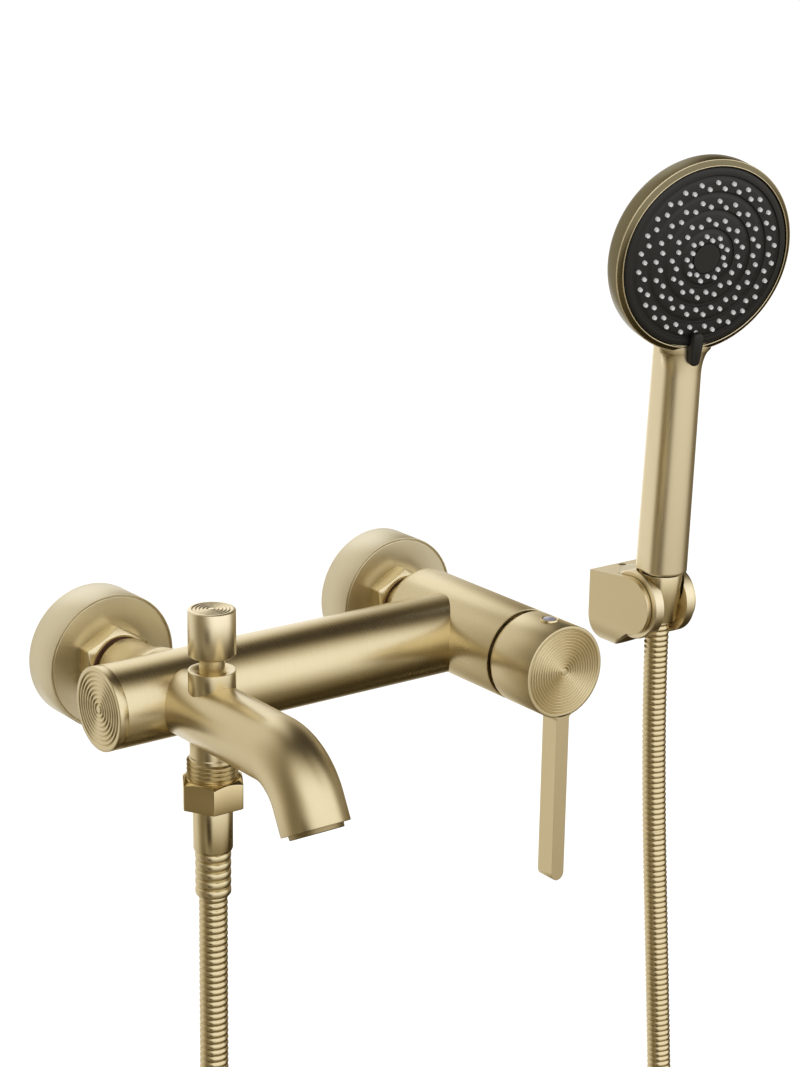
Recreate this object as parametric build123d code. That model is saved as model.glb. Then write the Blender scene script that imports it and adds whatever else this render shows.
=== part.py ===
from build123d import *
import math
import os

# Wall-mounted bath mixer with a hand shower, its holder and its hose.
# Millimetres. The wall is y = 0, the room is on the -Y side, +Z is up and x = 0 lies
# midway between the two wall pipes. The eccentric unions lift the mixer above the pipes.

# Wall connections
PIPE_SPACING = 150.0
ECCENTRIC_LIFT = 7.5
HALF_INCH_THREAD_R = 10.48
THREE_QUARTER_THREAD_R = 13.22
WALL_THREAD_LENGTH = 17.0
UNION_FRONT_Y = 21.5
UNION_SHOULDER_Y = 7.0
UNION_SHOULDER_R = 10.9
UNION_PIPE_BORE_R = 6.5
UNION_MIXER_BORE_R = 8.5

# Rosettes
ROSETTE_R = 29.6
ROSETTE_DEPTH = 18.9
ROSETTE_WALL = 1.5
ROSETTE_LIP = 0.9
ROSETTE_DISH = 3.0

# Union nuts
UNION_NUT_FLATS = 30.0
UNION_NUT_LENGTH = 9.5
UNION_NUT_CHAMFER = 1.2
UNION_WASHER = 2.0
INLET_FLANGE = 2.0
INLET_NECK_R = 11.0
INLET_ROOT_R = 14.2
INLET_BORE_R = 7.0

# Mixer body
BODY_AXIS_Y = 65.6
BODY_R = 17.5
BODY_LEFT_X = 109.2
END_CAP_THICK = 4.0
END_CAP_SPIGOT_R = 13.0
END_CAP_SPIGOT = 8.0
HOUSING_R = 20.2
HOUSING_REAR_Y = 34.0
HOUSING_REAR_ROUND = 5.0
HOUSING_FRONT_Y = 109.0
HOUSING_MOUTH_WALL = 1.4
HOUSING_MOUTH_DEPTH = 7.0

# Cartridge and lever
CARTRIDGE_R = 12.4
CARTRIDGE_REAR_Y = 74.0
CARTRIDGE_FRONT_Y = 111.5
CARTRIDGE_NECK_R = 10.4
CARTRIDGE_NUT_R = 15.5
CARTRIDGE_NUT_FRONT_Y = 104.5
CARTRIDGE_NUT_THICK = 6.5
SPINDLE_R = 8.6
SPINDLE_DEPTH = 12.0
SPINDLE_FRONT_Y = 117.2
TILT_AXIS_Y = 121.0
TILT_PIN_R = 1.5
STEM_WIDTH = 7.0
STEM_EYE_R = 3.5
RUNNING_GAP = 0.05
CAP_REAR_Y = 112.2
CAP_FRONT_Y = 136.5
CAP_WALL = 2.6
CAP_FRONT_WALL = 5.0
CAP_HUB_R = 6.6
CAP_HUB_REAR_Y = 124.5
STEM_FRONT_Y = 130.5
LEVER_WIDTH = 6.7
LEVER_DEPTH = 9.3
LEVER_LENGTH = 95.0
INDICATOR_Y = 126.8
INDICATOR_R = 3.5
GRUB_SCREW_R = 2.0

# Concentric grooves on the round faces
GROOVE_WIDTH = 0.7
GROOVE_DEPTH = 0.45
LEVER_GROOVES = 12
END_CAP_GROOVES = 7
KNOB_GROOVES = 4

# Spout
SPOUT_R = 13.85
SPOUT_WALL = 2.9
SPOUT_STRAIGHT_Y = 141.2
SPOUT_BEND_R = 26.0
SPOUT_BEND_ANGLE = 62.2
SPOUT_END_RUN = 11.0
AERATOR_R = 12.0
AERATOR_DEPTH = 8.0
AERATOR_PROUD = 1.8
AERATOR_INSERT_R = 10.2
AERATOR_JET_R = 1.1

# Diverter on the spout's root
DIVERTER_Y = 96.7
KNOB_R = 9.6
KNOB_BOTTOM_Z = 25.3
KNOB_TOP_Z = 44.8
KNOB_CHAMFER = 1.0
NECK_R = 5.2
NECK_BOTTOM_Z = 11.0
COLLAR_TOP_Z = 19.4
COLLAR_SPIGOT_R = 7.5
COLLAR_DISH = 2.0
DIVERTER_STEM_R = 2.0
VALVE_DISC_R = 5.6
VALVE_DISC_THICK = 2.0
VALVE_DISC_TOP_Z = -7.2
SPRING_R = 3.6
SPRING_WIRE = 0.9

# Shower outlet, hose nut and ferrule
OUTLET_NECK_R = 9.2
OUTLET_THREAD_TOP_Z = -17.0
OUTLET_END_Z = -32.0
OUTLET_BORE_R = 5.0
HOSE_NUT_FLATS = 24.0
HOSE_NUT_TOP_Z = -25.9
HOSE_NUT_BOTTOM_Z = -38.1
HOSE_WASHER = 2.0
FERRULE_R = 8.15
FERRULE_NECK_R = 7.0
FERRULE_FLANGE_R = 9.8
FERRULE_BOTTOM_Z = -57.7
FERRULE_BORE_R = 4.2
SLEEVE_R = 7.4
SLEEVE_GAP = 0.05
SLEEVE_PITCH = 3.9
SLEEVE_RIBS = 5

# Hose
HOSE_R = 6.0
HOSE_ROOT_R = 5.35
HOSE_BORE_R = 4.9
HOSE_PITCH = 3.35
HOSE_LENGTH = 1250.0
HOSE_SEAM_GAP = 1.3
HOSE_UPPER = 52.0
HOSE_RIGHT_LEAD = 57.0

# Hand shower holder
HOLDER_X = 225.0
HOLDER_PIVOT_Y = 26.3
HOLDER_PIVOT_Z = -24.7
HOLDER_WIDTH = 36.0
HOLDER_FRONT_WIDTH = 31.4
HOLDER_TOP_Z = 12.2
HOLDER_BOTTOM_Z = -27.8
HOLDER_SCALLOP_Y = -2.0
HOLDER_SCALLOP_TOP_Z = -5.6
HOLDER_FOOT = 8.0
CHEEK_R = 14.3
CHEEK_GAP = 0.3
FORK_R = 17.0
FORK_HALF_WIDTH = 13.1
FORK_SLOT = 15.0
HOLDER_PIN_R = 2.5
HOLDER_PIN_COVER = 1.2
HOLDER_PLATE_WIDTH = 20.0
HOLDER_PLATE_HEIGHT = 28.0
HOLDER_PLATE_THICK = 4.0
HOLDER_SCREW_HOLE_R = 2.25
HOLDER_SCREW_SPACING = 16.0
HOLDER_SCREW_ROOM = 3.5
HOLDER_GRUB_Y = 3.5
HOSE_SLOT_WIDTH = 16.0
HOSE_SLOT_TOP = (4.8, -6.0)
HOSE_SLOT_FOOT = (19.0, -40.0)

# Hand shower
HANDSET_LEAN = 2.3
HANDSET_TURN = -10.5
HANDSET_AXIS_OFFSET = 4.7
CONE_NUT_TOP_Z = 17.2
CONE_NUT_BOTTOM_Z = -7.8
CONE_NUT_TOP_R = 11.7
CONE_NUT_SHOULDER_Z = 6.5
CONE_NUT_SHOULDER_R = 11.2
CONE_NUT_BOTTOM_R = 7.4
HANDSET_THREAD_DEPTH = 8.8
CONE_FIT = 0.04
HANDLE_BOTTOM_Z = 17.6
HANDLE_BOTTOM_R = 12.6
HANDLE_BOTTOM_FLAT = 11.3
HANDLE_TOP_R = 11.8
HANDLE_TOP_FLAT = 10.6
HANDLE_TOP_Z = 140.0
HANDLE_BORE_R = 5.5
HANDLE_BORE_DEPTH = 20.0
FACE_Z = 175.3
FACE_FORWARD = 18.5
FACE_PITCH = 7.0
HEAD_BARREL = 6.0
HEAD_DOME = 12.0
LIP_DROP = 3.5
FACE_R = 43.5
HEAD_RIM = 3.2
FACE_THICK = 5.0
FACE_GAP = 0.25
TAB_WIDTH = 8.6
TAB_LENGTH = 17.0
TAB_HEIGHT = 4.0

# Places worked out from the sizes above
LEFT_X = -PIPE_SPACING / 2
RIGHT_X = PIPE_SPACING / 2
AXIS_Z = ECCENTRIC_LIFT
NUT_REAR_Y = UNION_FRONT_Y - 4.0
NUT_FRONT_Y = NUT_REAR_Y + UNION_NUT_LENGTH
FLANGE_REAR_Y = UNION_FRONT_Y + UNION_WASHER
FLANGE_FRONT_Y = FLANGE_REAR_Y + INLET_FLANGE
SPOUT_BORE_R = SPOUT_R - SPOUT_WALL
HEAD_R = FACE_R + HEAD_RIM
MOUTH_FLOOR_Y = HOUSING_FRONT_Y - HOUSING_MOUTH_DEPTH
MOUTH_R = HOUSING_R - HOUSING_MOUTH_WALL
SLEEVE_BOTTOM_Z = FERRULE_BOTTOM_Z - SLEEVE_PITCH * SLEEVE_RIBS

# The hose's route from the ferrule to the hand shower: x, y and height above the mixer's axis
HOSE_START = (LEFT_X, -DIVERTER_Y, FERRULE_BOTTOM_Z)
HOSE_LEFT_END = (LEFT_X, -DIVERTER_Y, -155.0)
HOSE_RIGHT_END = (225.0, -46.0, -268.0)
HOSE_BEND = [
    (-75.0, -96.7, -225.0),
    (-79.0, -95.5, -305.0),
    (-80.0, -93.0, -385.0),
    (-76.5, -90.0, -457.0),
    (-54.7, -86.0, -508.0),
    (-11.7, -80.0, -549.0),
    (44.6, -74.0, -571.0),
    (105.4, -68.0, -571.0),
    (161.7, -63.0, -549.0),
    (204.7, -59.0, -508.0),
    (227.0, -56.0, -457.0),
    (229.0, -53.0, -385.0),
]


def rod(axis, radius, start, end, u=0.0, v=0.0):
    """A cylinder along one axis; u and v are its other two coordinates in x, y, z order."""
    low = min(start, end)
    body = Cylinder(radius, abs(end - start), align=(Align.CENTER, Align.CENTER, Align.MIN))
    if axis == "x":
        return Pos(low, u, v) * Rot(0, 90, 0) * body
    if axis == "y":
        return Pos(u, low, v) * Rot(-90, 0, 0) * body
    return Pos(u, v, low) * body


def lathe(points):
    """A turned solid about Z from (radius, height) points."""
    outline = Plane.XZ * make_face(Polyline(*points, close=True))
    return revolve(outline, Axis.Z)


def facing_room(x, z):
    """Local +Z points out from the wall, so heights are distances from the wall."""
    return Pos(x, 0, z) * Rot(90, 0, 0)


def hexagon(flats, height, chamfer):
    """A nut blank with turned corners at its top."""
    blank = extrude(RegularPolygon(flats / math.sqrt(3), 6, rotation=30), height)
    corner_r = flats / math.sqrt(3)
    shoulder = height - chamfer
    turned = lathe([(0, 0), (corner_r, 0), (corner_r, shoulder), (corner_r - 2 * chamfer, height), (0, height)])
    return blank & turned


def grooved_face(radius, inner, height, count):
    """Top outline of a turned face with V grooves, from its centre out to the radius."""
    points = [(0, height)]
    step = (radius - inner) / count
    for i in range(round(count)):
        centre = inner + (i + 0.5) * step
        points += [
            (centre - GROOVE_WIDTH / 2, height),
            (centre, height - GROOVE_DEPTH),
            (centre + GROOVE_WIDTH / 2, height),
        ]
    return points


def eccentric_union(x):
    """S-union: a half-inch pipe end for the wall and a lifted three-quarter-inch end for the nut."""
    solid = rod("y", HALF_INCH_THREAD_R, 0, WALL_THREAD_LENGTH, x, 0)
    solid += rod("y", UNION_SHOULDER_R, -UNION_SHOULDER_Y, 0, x, 0)
    solid += rod("y", THREE_QUARTER_THREAD_R, -UNION_FRONT_Y, -UNION_SHOULDER_Y / 2, x, AXIS_Z)
    solid -= rod("y", UNION_PIPE_BORE_R, -UNION_SHOULDER_Y + 1.5, WALL_THREAD_LENGTH, x, 0)
    solid -= rod("y", UNION_MIXER_BORE_R, -UNION_FRONT_Y, -UNION_SHOULDER_Y / 2 - 1.5, x, AXIS_Z)
    return solid


def rosette(x):
    """Cup-shaped wall rosette with a fine lip and a dished front."""
    front = ROSETTE_DEPTH
    face = front - 0.5
    dish = face - ROSETTE_DISH
    inner_r = ROSETTE_R - ROSETTE_WALL
    profile = [
        (inner_r, 0), (ROSETTE_R, 0), (ROSETTE_R, front), (ROSETTE_R - ROSETTE_LIP, front),
        (ROSETTE_R - ROSETTE_LIP - 0.4, face), (THREE_QUARTER_THREAD_R, dish),
        (THREE_QUARTER_THREAD_R, dish - ROSETTE_WALL), (inner_r, face - ROSETTE_WALL),
    ]
    return facing_room(x, AXIS_Z) * lathe(profile)


def union_nut(x):
    """Hexagonal union nut that draws the mixer's inlet onto the eccentric union."""
    nut = hexagon(UNION_NUT_FLATS, UNION_NUT_LENGTH, UNION_NUT_CHAMFER)
    nut -= rod("z", THREE_QUARTER_THREAD_R, 0, FLANGE_FRONT_Y - NUT_REAR_Y)
    nut -= rod("z", INLET_NECK_R, 0, UNION_NUT_LENGTH)
    return facing_room(x, AXIS_Z) * Pos(0, 0, NUT_REAR_Y) * nut


def inlet_washer(x):
    """Flat fibre washer between the union and the mixer's inlet."""
    ring = Cylinder(THREE_QUARTER_THREAD_R, UNION_WASHER, align=(Align.CENTER, Align.CENTER, Align.MIN))
    ring -= Cylinder(UNION_MIXER_BORE_R, UNION_WASHER, align=(Align.CENTER, Align.CENTER, Align.MIN))
    return facing_room(x, AXIS_Z) * Pos(0, 0, UNION_FRONT_Y) * ring


def inlet(x, end_y, root_r):
    """Inlet tail: the flange inside the union nut, its neck and the flare into the body."""
    flare_y = NUT_FRONT_Y + 1.0
    profile = [
        (0, FLANGE_REAR_Y), (THREE_QUARTER_THREAD_R, FLANGE_REAR_Y), (THREE_QUARTER_THREAD_R, FLANGE_FRONT_Y),
        (INLET_NECK_R, FLANGE_FRONT_Y), (INLET_NECK_R, flare_y), (root_r, flare_y + 4.0),
        (root_r, end_y), (0, end_y),
    ]
    return facing_room(x, AXIS_Z) * lathe(profile)


def mixer_body():
    """Cross tube, two inlets and the lever housing in one casting."""
    tube_left = -(BODY_LEFT_X - END_CAP_THICK)
    solid = rod("x", BODY_R, tube_left, RIGHT_X, -BODY_AXIS_Y, AXIS_Z)
    housing = lathe([
        (0, HOUSING_REAR_Y), (HOUSING_R - HOUSING_REAR_ROUND, HOUSING_REAR_Y),
        (HOUSING_R - 1.5, HOUSING_REAR_Y + 1.5), (HOUSING_R, HOUSING_REAR_Y + HOUSING_REAR_ROUND),
        (HOUSING_R, MOUTH_FLOOR_Y), (0, MOUTH_FLOOR_Y),
    ])
    solid += facing_room(RIGHT_X, AXIS_Z) * housing
    solid += inlet(LEFT_X, BODY_AXIS_Y, INLET_ROOT_R)
    solid += inlet(RIGHT_X, HOUSING_REAR_Y + 1.0, INLET_NECK_R)
    for x in (LEFT_X, RIGHT_X):
        solid -= rod("y", INLET_BORE_R, -(BODY_AXIS_Y - 4.0), -FLANGE_REAR_Y, x, AXIS_Z)
    solid -= rod("x", END_CAP_SPIGOT_R, tube_left, tube_left + END_CAP_SPIGOT, -BODY_AXIS_Y, AXIS_Z)
    solid -= rod("y", SPOUT_BORE_R - 1.0, -(BODY_AXIS_Y + BODY_R + 1.0), -BODY_AXIS_Y, LEFT_X, AXIS_Z)
    nut_rear = CARTRIDGE_NUT_FRONT_Y - CARTRIDGE_NUT_THICK
    solid -= rod("y", CARTRIDGE_NUT_R, -HOUSING_FRONT_Y, -nut_rear, RIGHT_X, AXIS_Z)
    solid -= rod("y", CARTRIDGE_R, -HOUSING_FRONT_Y, -CARTRIDGE_REAR_Y, RIGHT_X, AXIS_Z)
    return solid


def housing_shroud():
    """Thin front ring of the housing; the lever's cap dips into it when it is lifted."""
    ring = rod("y", HOUSING_R, -HOUSING_FRONT_Y, -MOUTH_FLOOR_Y, RIGHT_X, AXIS_Z)
    return ring - rod("y", MOUTH_R, -HOUSING_FRONT_Y, -MOUTH_FLOOR_Y, RIGHT_X, AXIS_Z)


def end_cap():
    """Grooved cap that screws into the body's left end."""
    rim = BODY_R - 1.6
    profile = [(0, 0), (END_CAP_SPIGOT_R, 0), (END_CAP_SPIGOT_R, END_CAP_SPIGOT), (BODY_R, END_CAP_SPIGOT)]
    top = END_CAP_SPIGOT + END_CAP_THICK
    profile += [(BODY_R, top - 0.4), (BODY_R - 0.4, top)]
    profile += list(reversed(grooved_face(rim, 1.2, top, END_CAP_GROOVES)))
    start_x = -(BODY_LEFT_X - END_CAP_THICK) + END_CAP_SPIGOT
    return Pos(start_x, -BODY_AXIS_Y, AXIS_Z) * Rot(0, -90, 0) * lathe(profile)


def spout_path(start_y):
    """Centre line of the spout: forward from the body, then down."""
    start = (LEFT_X, -start_y, AXIS_Z)
    knee = (LEFT_X, -SPOUT_STRAIGHT_Y, AXIS_Z)
    straight = Line(start, knee)
    turn = math.radians(SPOUT_BEND_ANGLE)
    middle = (
        LEFT_X, -SPOUT_STRAIGHT_Y - SPOUT_BEND_R * math.sin(turn / 2),
        AXIS_Z - SPOUT_BEND_R * (1 - math.cos(turn / 2)),
    )
    end = (
        LEFT_X, -SPOUT_STRAIGHT_Y - SPOUT_BEND_R * math.sin(turn),
        AXIS_Z - SPOUT_BEND_R * (1 - math.cos(turn)),
    )
    tip = (LEFT_X, end[1] - SPOUT_END_RUN * math.cos(turn), end[2] - SPOUT_END_RUN * math.sin(turn))
    return straight + ThreePointArc(knee, middle, end) + Line(end, tip)


def spout_mouth():
    """Location of the spout's mouth, with local +Z pointing out of it."""
    path = spout_path(BODY_AXIS_Y)
    return Location(Plane(origin=path @ 1, x_dir=(1, 0, 0), z_dir=path % 1))


def spout():
    """Bent tube seated on the body, bored through, with holes for the diverter."""
    path = spout_path(BODY_AXIS_Y)
    start = Plane(origin=path @ 0, x_dir=(1, 0, 0), z_dir=path % 0)
    solid = sweep(start * Circle(SPOUT_R), path)
    solid -= sweep(start * Circle(SPOUT_BORE_R), path)
    solid -= rod("x", BODY_R, LEFT_X - 2 * SPOUT_R, LEFT_X + 2 * SPOUT_R, -BODY_AXIS_Y, AXIS_Z)
    solid -= spout_mouth() * rod("z", AERATOR_R, -AERATOR_DEPTH, 1.0)
    solid -= rod("z", COLLAR_SPIGOT_R, AXIS_Z, AXIS_Z + SPOUT_R + 1.0, LEFT_X, -DIVERTER_Y)
    solid -= rod("z", COLLAR_SPIGOT_R, AXIS_Z - SPOUT_R - 1.0, AXIS_Z, LEFT_X, -DIVERTER_Y)
    return max(solid.solids(), key=lambda piece: piece.volume)


def aerator_housing():
    """Threaded ring in the spout's mouth."""
    ring = lathe([
        (AERATOR_INSERT_R, -AERATOR_DEPTH), (AERATOR_R, -AERATOR_DEPTH), (AERATOR_R, 0),
        (AERATOR_R - 0.4, AERATOR_PROUD), (AERATOR_INSERT_R, AERATOR_PROUD),
    ])
    return spout_mouth() * ring


def aerator_insert():
    """Plastic jet insert with its ring of holes."""
    top = AERATOR_PROUD - 0.6
    insert = rod("z", AERATOR_INSERT_R, -AERATOR_DEPTH, top)
    jet = extrude(RegularPolygon(AERATOR_JET_R, 6), AERATOR_DEPTH + top)
    for ring_r, count in ((0.0, 1), (3.4, 6), (6.8, 12)):
        for i in range(count):
            angle = 2 * math.pi * i / count
            insert -= Pos(ring_r * math.cos(angle), ring_r * math.sin(angle), -AERATOR_DEPTH) * jet
    return spout_mouth() * insert


def at_diverter(z):
    """Local +Z up the diverter's axis; z is the height above the mixer's axis."""
    return Pos(LEFT_X, -DIVERTER_Y, AXIS_Z + z)


def diverter_collar():
    """Round collar saddled on the spout, with a dished top and a guide bore."""
    profile = [
        (NECK_R + RUNNING_GAP, 0), (KNOB_R, 0), (KNOB_R, COLLAR_TOP_Z - 0.3), (KNOB_R - 0.3, COLLAR_TOP_Z),
        (NECK_R + RUNNING_GAP + COLLAR_DISH, COLLAR_TOP_Z - COLLAR_DISH / 2),
        (NECK_R + RUNNING_GAP, COLLAR_TOP_Z - COLLAR_DISH),
    ]
    collar = at_diverter(0) * lathe(profile)
    collar -= rod("y", SPOUT_R, -DIVERTER_Y - 30, -DIVERTER_Y + 30, LEFT_X, AXIS_Z)
    spigot_bottom = SPOUT_BORE_R - 3.0
    spigot = lathe([
        (DIVERTER_STEM_R + RUNNING_GAP, spigot_bottom), (COLLAR_SPIGOT_R, spigot_bottom),
        (COLLAR_SPIGOT_R, COLLAR_TOP_Z - COLLAR_DISH - 1.0),
        (NECK_R + RUNNING_GAP, COLLAR_TOP_Z - COLLAR_DISH - 1.0),
        (NECK_R + RUNNING_GAP, spigot_bottom + 1.5), (DIVERTER_STEM_R + RUNNING_GAP, spigot_bottom + 1.5),
    ])
    return collar + at_diverter(0) * spigot


def diverter_knob():
    """Pull knob with its neck; the top has concentric grooves."""
    top = KNOB_TOP_Z
    profile = [
        (0, NECK_BOTTOM_Z), (NECK_R, NECK_BOTTOM_Z), (NECK_R, KNOB_BOTTOM_Z),
        (KNOB_R - KNOB_CHAMFER, KNOB_BOTTOM_Z),
        (KNOB_R, KNOB_BOTTOM_Z + KNOB_CHAMFER), (KNOB_R, top - 0.5), (KNOB_R - 0.5, top),
    ]
    profile += list(reversed(grooved_face(KNOB_R - 1.4, 1.0, top, KNOB_GROOVES)))
    knob = lathe(profile) - rod("z", DIVERTER_STEM_R, NECK_BOTTOM_Z, NECK_BOTTOM_Z + 8.0)
    return at_diverter(0) * knob


def diverter_stem():
    """Rod from the knob down through the collar to the valve disc."""
    return at_diverter(0) * rod("z", DIVERTER_STEM_R, VALVE_DISC_TOP_Z - VALVE_DISC_THICK, NECK_BOTTOM_Z + 8.0)


def diverter_valve_disc():
    """Rubber disc that closes the shower outlet, or the spout once it is lifted."""
    disc = rod("z", VALVE_DISC_R, VALVE_DISC_TOP_Z - VALVE_DISC_THICK, VALVE_DISC_TOP_Z)
    disc -= rod("z", DIVERTER_STEM_R, VALVE_DISC_TOP_Z - VALVE_DISC_THICK, VALVE_DISC_TOP_Z)
    return at_diverter(0) * disc


def diverter_spring():
    """Return spring between the collar and the valve disc, as a plain tube since nothing shows it."""
    top = SPOUT_BORE_R - 3.0
    tube = rod("z", SPRING_R, VALVE_DISC_TOP_Z, top) - rod("z", SPRING_R - SPRING_WIRE, VALVE_DISC_TOP_Z, top)
    return at_diverter(0) * tube


def shower_outlet():
    """Nipple under the spout: a plain neck, a spigot into the spout and the half-inch thread."""
    nipple = rod("z", OUTLET_NECK_R, OUTLET_THREAD_TOP_Z, 0)
    nipple = at_diverter(0) * nipple
    nipple -= rod("y", SPOUT_R, -DIVERTER_Y - 30, -DIVERTER_Y + 30, LEFT_X, AXIS_Z)
    thread = lathe([
        (0, OUTLET_END_Z), (HALF_INCH_THREAD_R - 0.6, OUTLET_END_Z), (HALF_INCH_THREAD_R, OUTLET_END_Z + 0.6),
        (HALF_INCH_THREAD_R, OUTLET_THREAD_TOP_Z - 0.6), (HALF_INCH_THREAD_R - 0.6, OUTLET_THREAD_TOP_Z),
        (0, OUTLET_THREAD_TOP_Z),
    ])
    nipple += at_diverter(0) * thread
    seat_z = VALVE_DISC_TOP_Z - VALVE_DISC_THICK
    nipple += at_diverter(0) * rod("z", COLLAR_SPIGOT_R, OUTLET_THREAD_TOP_Z, seat_z)
    nipple -= at_diverter(0) * rod("z", OUTLET_BORE_R, OUTLET_END_Z, seat_z)
    return nipple


def hose_hex_nut():
    """Hexagonal hose nut on the shower outlet, its chamfer at the top."""
    height = HOSE_NUT_TOP_Z - HOSE_NUT_BOTTOM_Z
    nut = hexagon(HOSE_NUT_FLATS, height, 1.0)
    nut -= rod("z", HALF_INCH_THREAD_R, 2.0, height)
    nut -= rod("z", FERRULE_NECK_R, 0, height)
    return at_diverter(HOSE_NUT_BOTTOM_Z) * Rot(0, 0, 30) * nut


def outlet_washer():
    """Rubber washer between the outlet's end and the hose's flange."""
    bottom = OUTLET_END_Z - HOSE_WASHER
    ring = rod("z", HALF_INCH_THREAD_R, bottom, OUTLET_END_Z) - rod("z", OUTLET_BORE_R, bottom, OUTLET_END_Z)
    return at_diverter(0) * ring


def hose_ferrule():
    """Sleeve under the hex nut, with the flange that the nut holds."""
    flange_top = OUTLET_END_Z - HOSE_WASHER
    flange_bottom = HOSE_NUT_BOTTOM_Z + 2.0
    profile = [
        (FERRULE_BORE_R, FERRULE_BOTTOM_Z), (FERRULE_R - 0.5, FERRULE_BOTTOM_Z),
        (FERRULE_R, FERRULE_BOTTOM_Z + 0.5),
        (FERRULE_R, HOSE_NUT_BOTTOM_Z), (FERRULE_NECK_R, HOSE_NUT_BOTTOM_Z), (FERRULE_NECK_R, flange_bottom),
        (FERRULE_FLANGE_R, flange_bottom), (FERRULE_FLANGE_R, flange_top), (FERRULE_BORE_R, flange_top),
    ]
    return at_diverter(0) * lathe(profile)


def ribs(crest_r, root_r, bore_r, pitch, count):
    """A ribbed tube down from z = 0: every rib is a ruled loft through four circles."""
    solid = None
    for i in range(count):
        top = -i * pitch
        rings = ((root_r, 0.0), (crest_r, 0.3), (crest_r, 0.7), (root_r, 1.0))
        circles = [Plane(origin=(0, 0, top - part * pitch), x_dir=(1, 0, 0)) * Circle(r) for r, part in rings]
        rib = loft(circles, ruled=True)
        solid = rib if solid is None else solid + rib
    return solid - rod("z", bore_r, -count * pitch, 0)


def hose_bend_sleeve():
    """Ribbed sleeve that keeps the hose from kinking under the ferrule."""
    sleeve = ribs(SLEEVE_R, HOSE_R + 0.5, HOSE_R + SLEEVE_GAP, SLEEVE_PITCH, SLEEVE_RIBS)
    return at_diverter(FERRULE_BOTTOM_Z) * sleeve


def lifted(point):
    """A route point in the part's frame."""
    return Vector(point[0], point[1], point[2] + AXIS_Z)


def ribbed_run(start, end):
    """A straight ribbed stretch of hose between two points."""
    a = lifted(start)
    b = lifted(end)
    length = (b - a).length
    count = max(1, round(length / HOSE_PITCH))
    run = ribs(HOSE_R, HOSE_ROOT_R, HOSE_BORE_R, length / count, count)
    down = (b - a).normalized()
    place = Plane(origin=a, x_dir=(1, 0, 0), z_dir=-down)
    return Location(place) * run


def hose_bend():
    """The unseen U of hose between the two straight stretches."""
    last = lifted(HOSE_RIGHT_END)
    along = (last - lifted(hose_seam())).normalized()
    points = [lifted(HOSE_LEFT_END)] + [lifted(p) for p in HOSE_BEND] + [last + along * HOSE_RIGHT_LEAD, last]
    radii = []
    for a, b, c in zip(points, points[1:], points[2:]):
        turn = math.radians((b - a).get_angle(c - b))
        radii.append(0.45 * min((b - a).length, (c - b).length) / math.tan(turn / 2))
    path = FilletPolyline(*points, radius=radii)
    start = Plane(origin=path @ 0, x_dir=(1, 0, 0), z_dir=path % 0)
    tube = sweep(start * (Circle(HOSE_R) - Circle(HOSE_BORE_R)), path)
    expected = math.pi * (HOSE_R ** 2 - HOSE_BORE_R ** 2) * path.length
    left_run = (lifted(HOSE_LEFT_END) - lifted(HOSE_START)).length
    right_run = (last - lifted(hose_seam())).length
    total = left_run + path.length + right_run + HOSE_UPPER
    print("hose radii", [round(r) for r in radii], "least", round(min(radii)))
    print("hose volume over section times length", round(tube.volume / expected, 4))
    print("hose length", round(total, 1), "of", HOSE_LENGTH)
    return tube


def hose_main():
    """The fixed stretch: ribbed where it shows under both ends, plain round the unseen bend."""
    left = ribbed_run(HOSE_START, HOSE_LEFT_END)
    right = ribbed_run(hose_seam(), HOSE_RIGHT_END)
    return left + hose_bend() + right


def holder_pivot():
    """Location of the holder's pivot, with local axes like the wall's."""
    return Pos(HOLDER_X, -HOLDER_PIVOT_Y, AXIS_Z + HOLDER_PIVOT_Z)


def holder_side_profile():
    """Side outline of the holder's base about the pivot: flat top, round front, swept underside."""
    wall = HOLDER_PIVOT_Y
    return make_face(
        Polyline(
            (0, CHEEK_R), (wall, HOLDER_TOP_Z), (wall, HOLDER_BOTTOM_Z),
            (wall - HOLDER_FOOT, HOLDER_BOTTOM_Z), (0, -CHEEK_R),
        )
        + ThreePointArc((0, -CHEEK_R), (-CHEEK_R, 0), (0, CHEEK_R))
    )


def holder_front_outline(width, bottom):
    """Front outline of the holder's base: a flat top over a round foot."""
    half = width / 2
    return make_face(
        Polyline((-half, bottom + half), (-half, CHEEK_R + 1.0), (half, CHEEK_R + 1.0), (half, bottom + half))
        + ThreePointArc((half, bottom + half), (0, bottom), (-half, bottom + half))
    )


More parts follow.
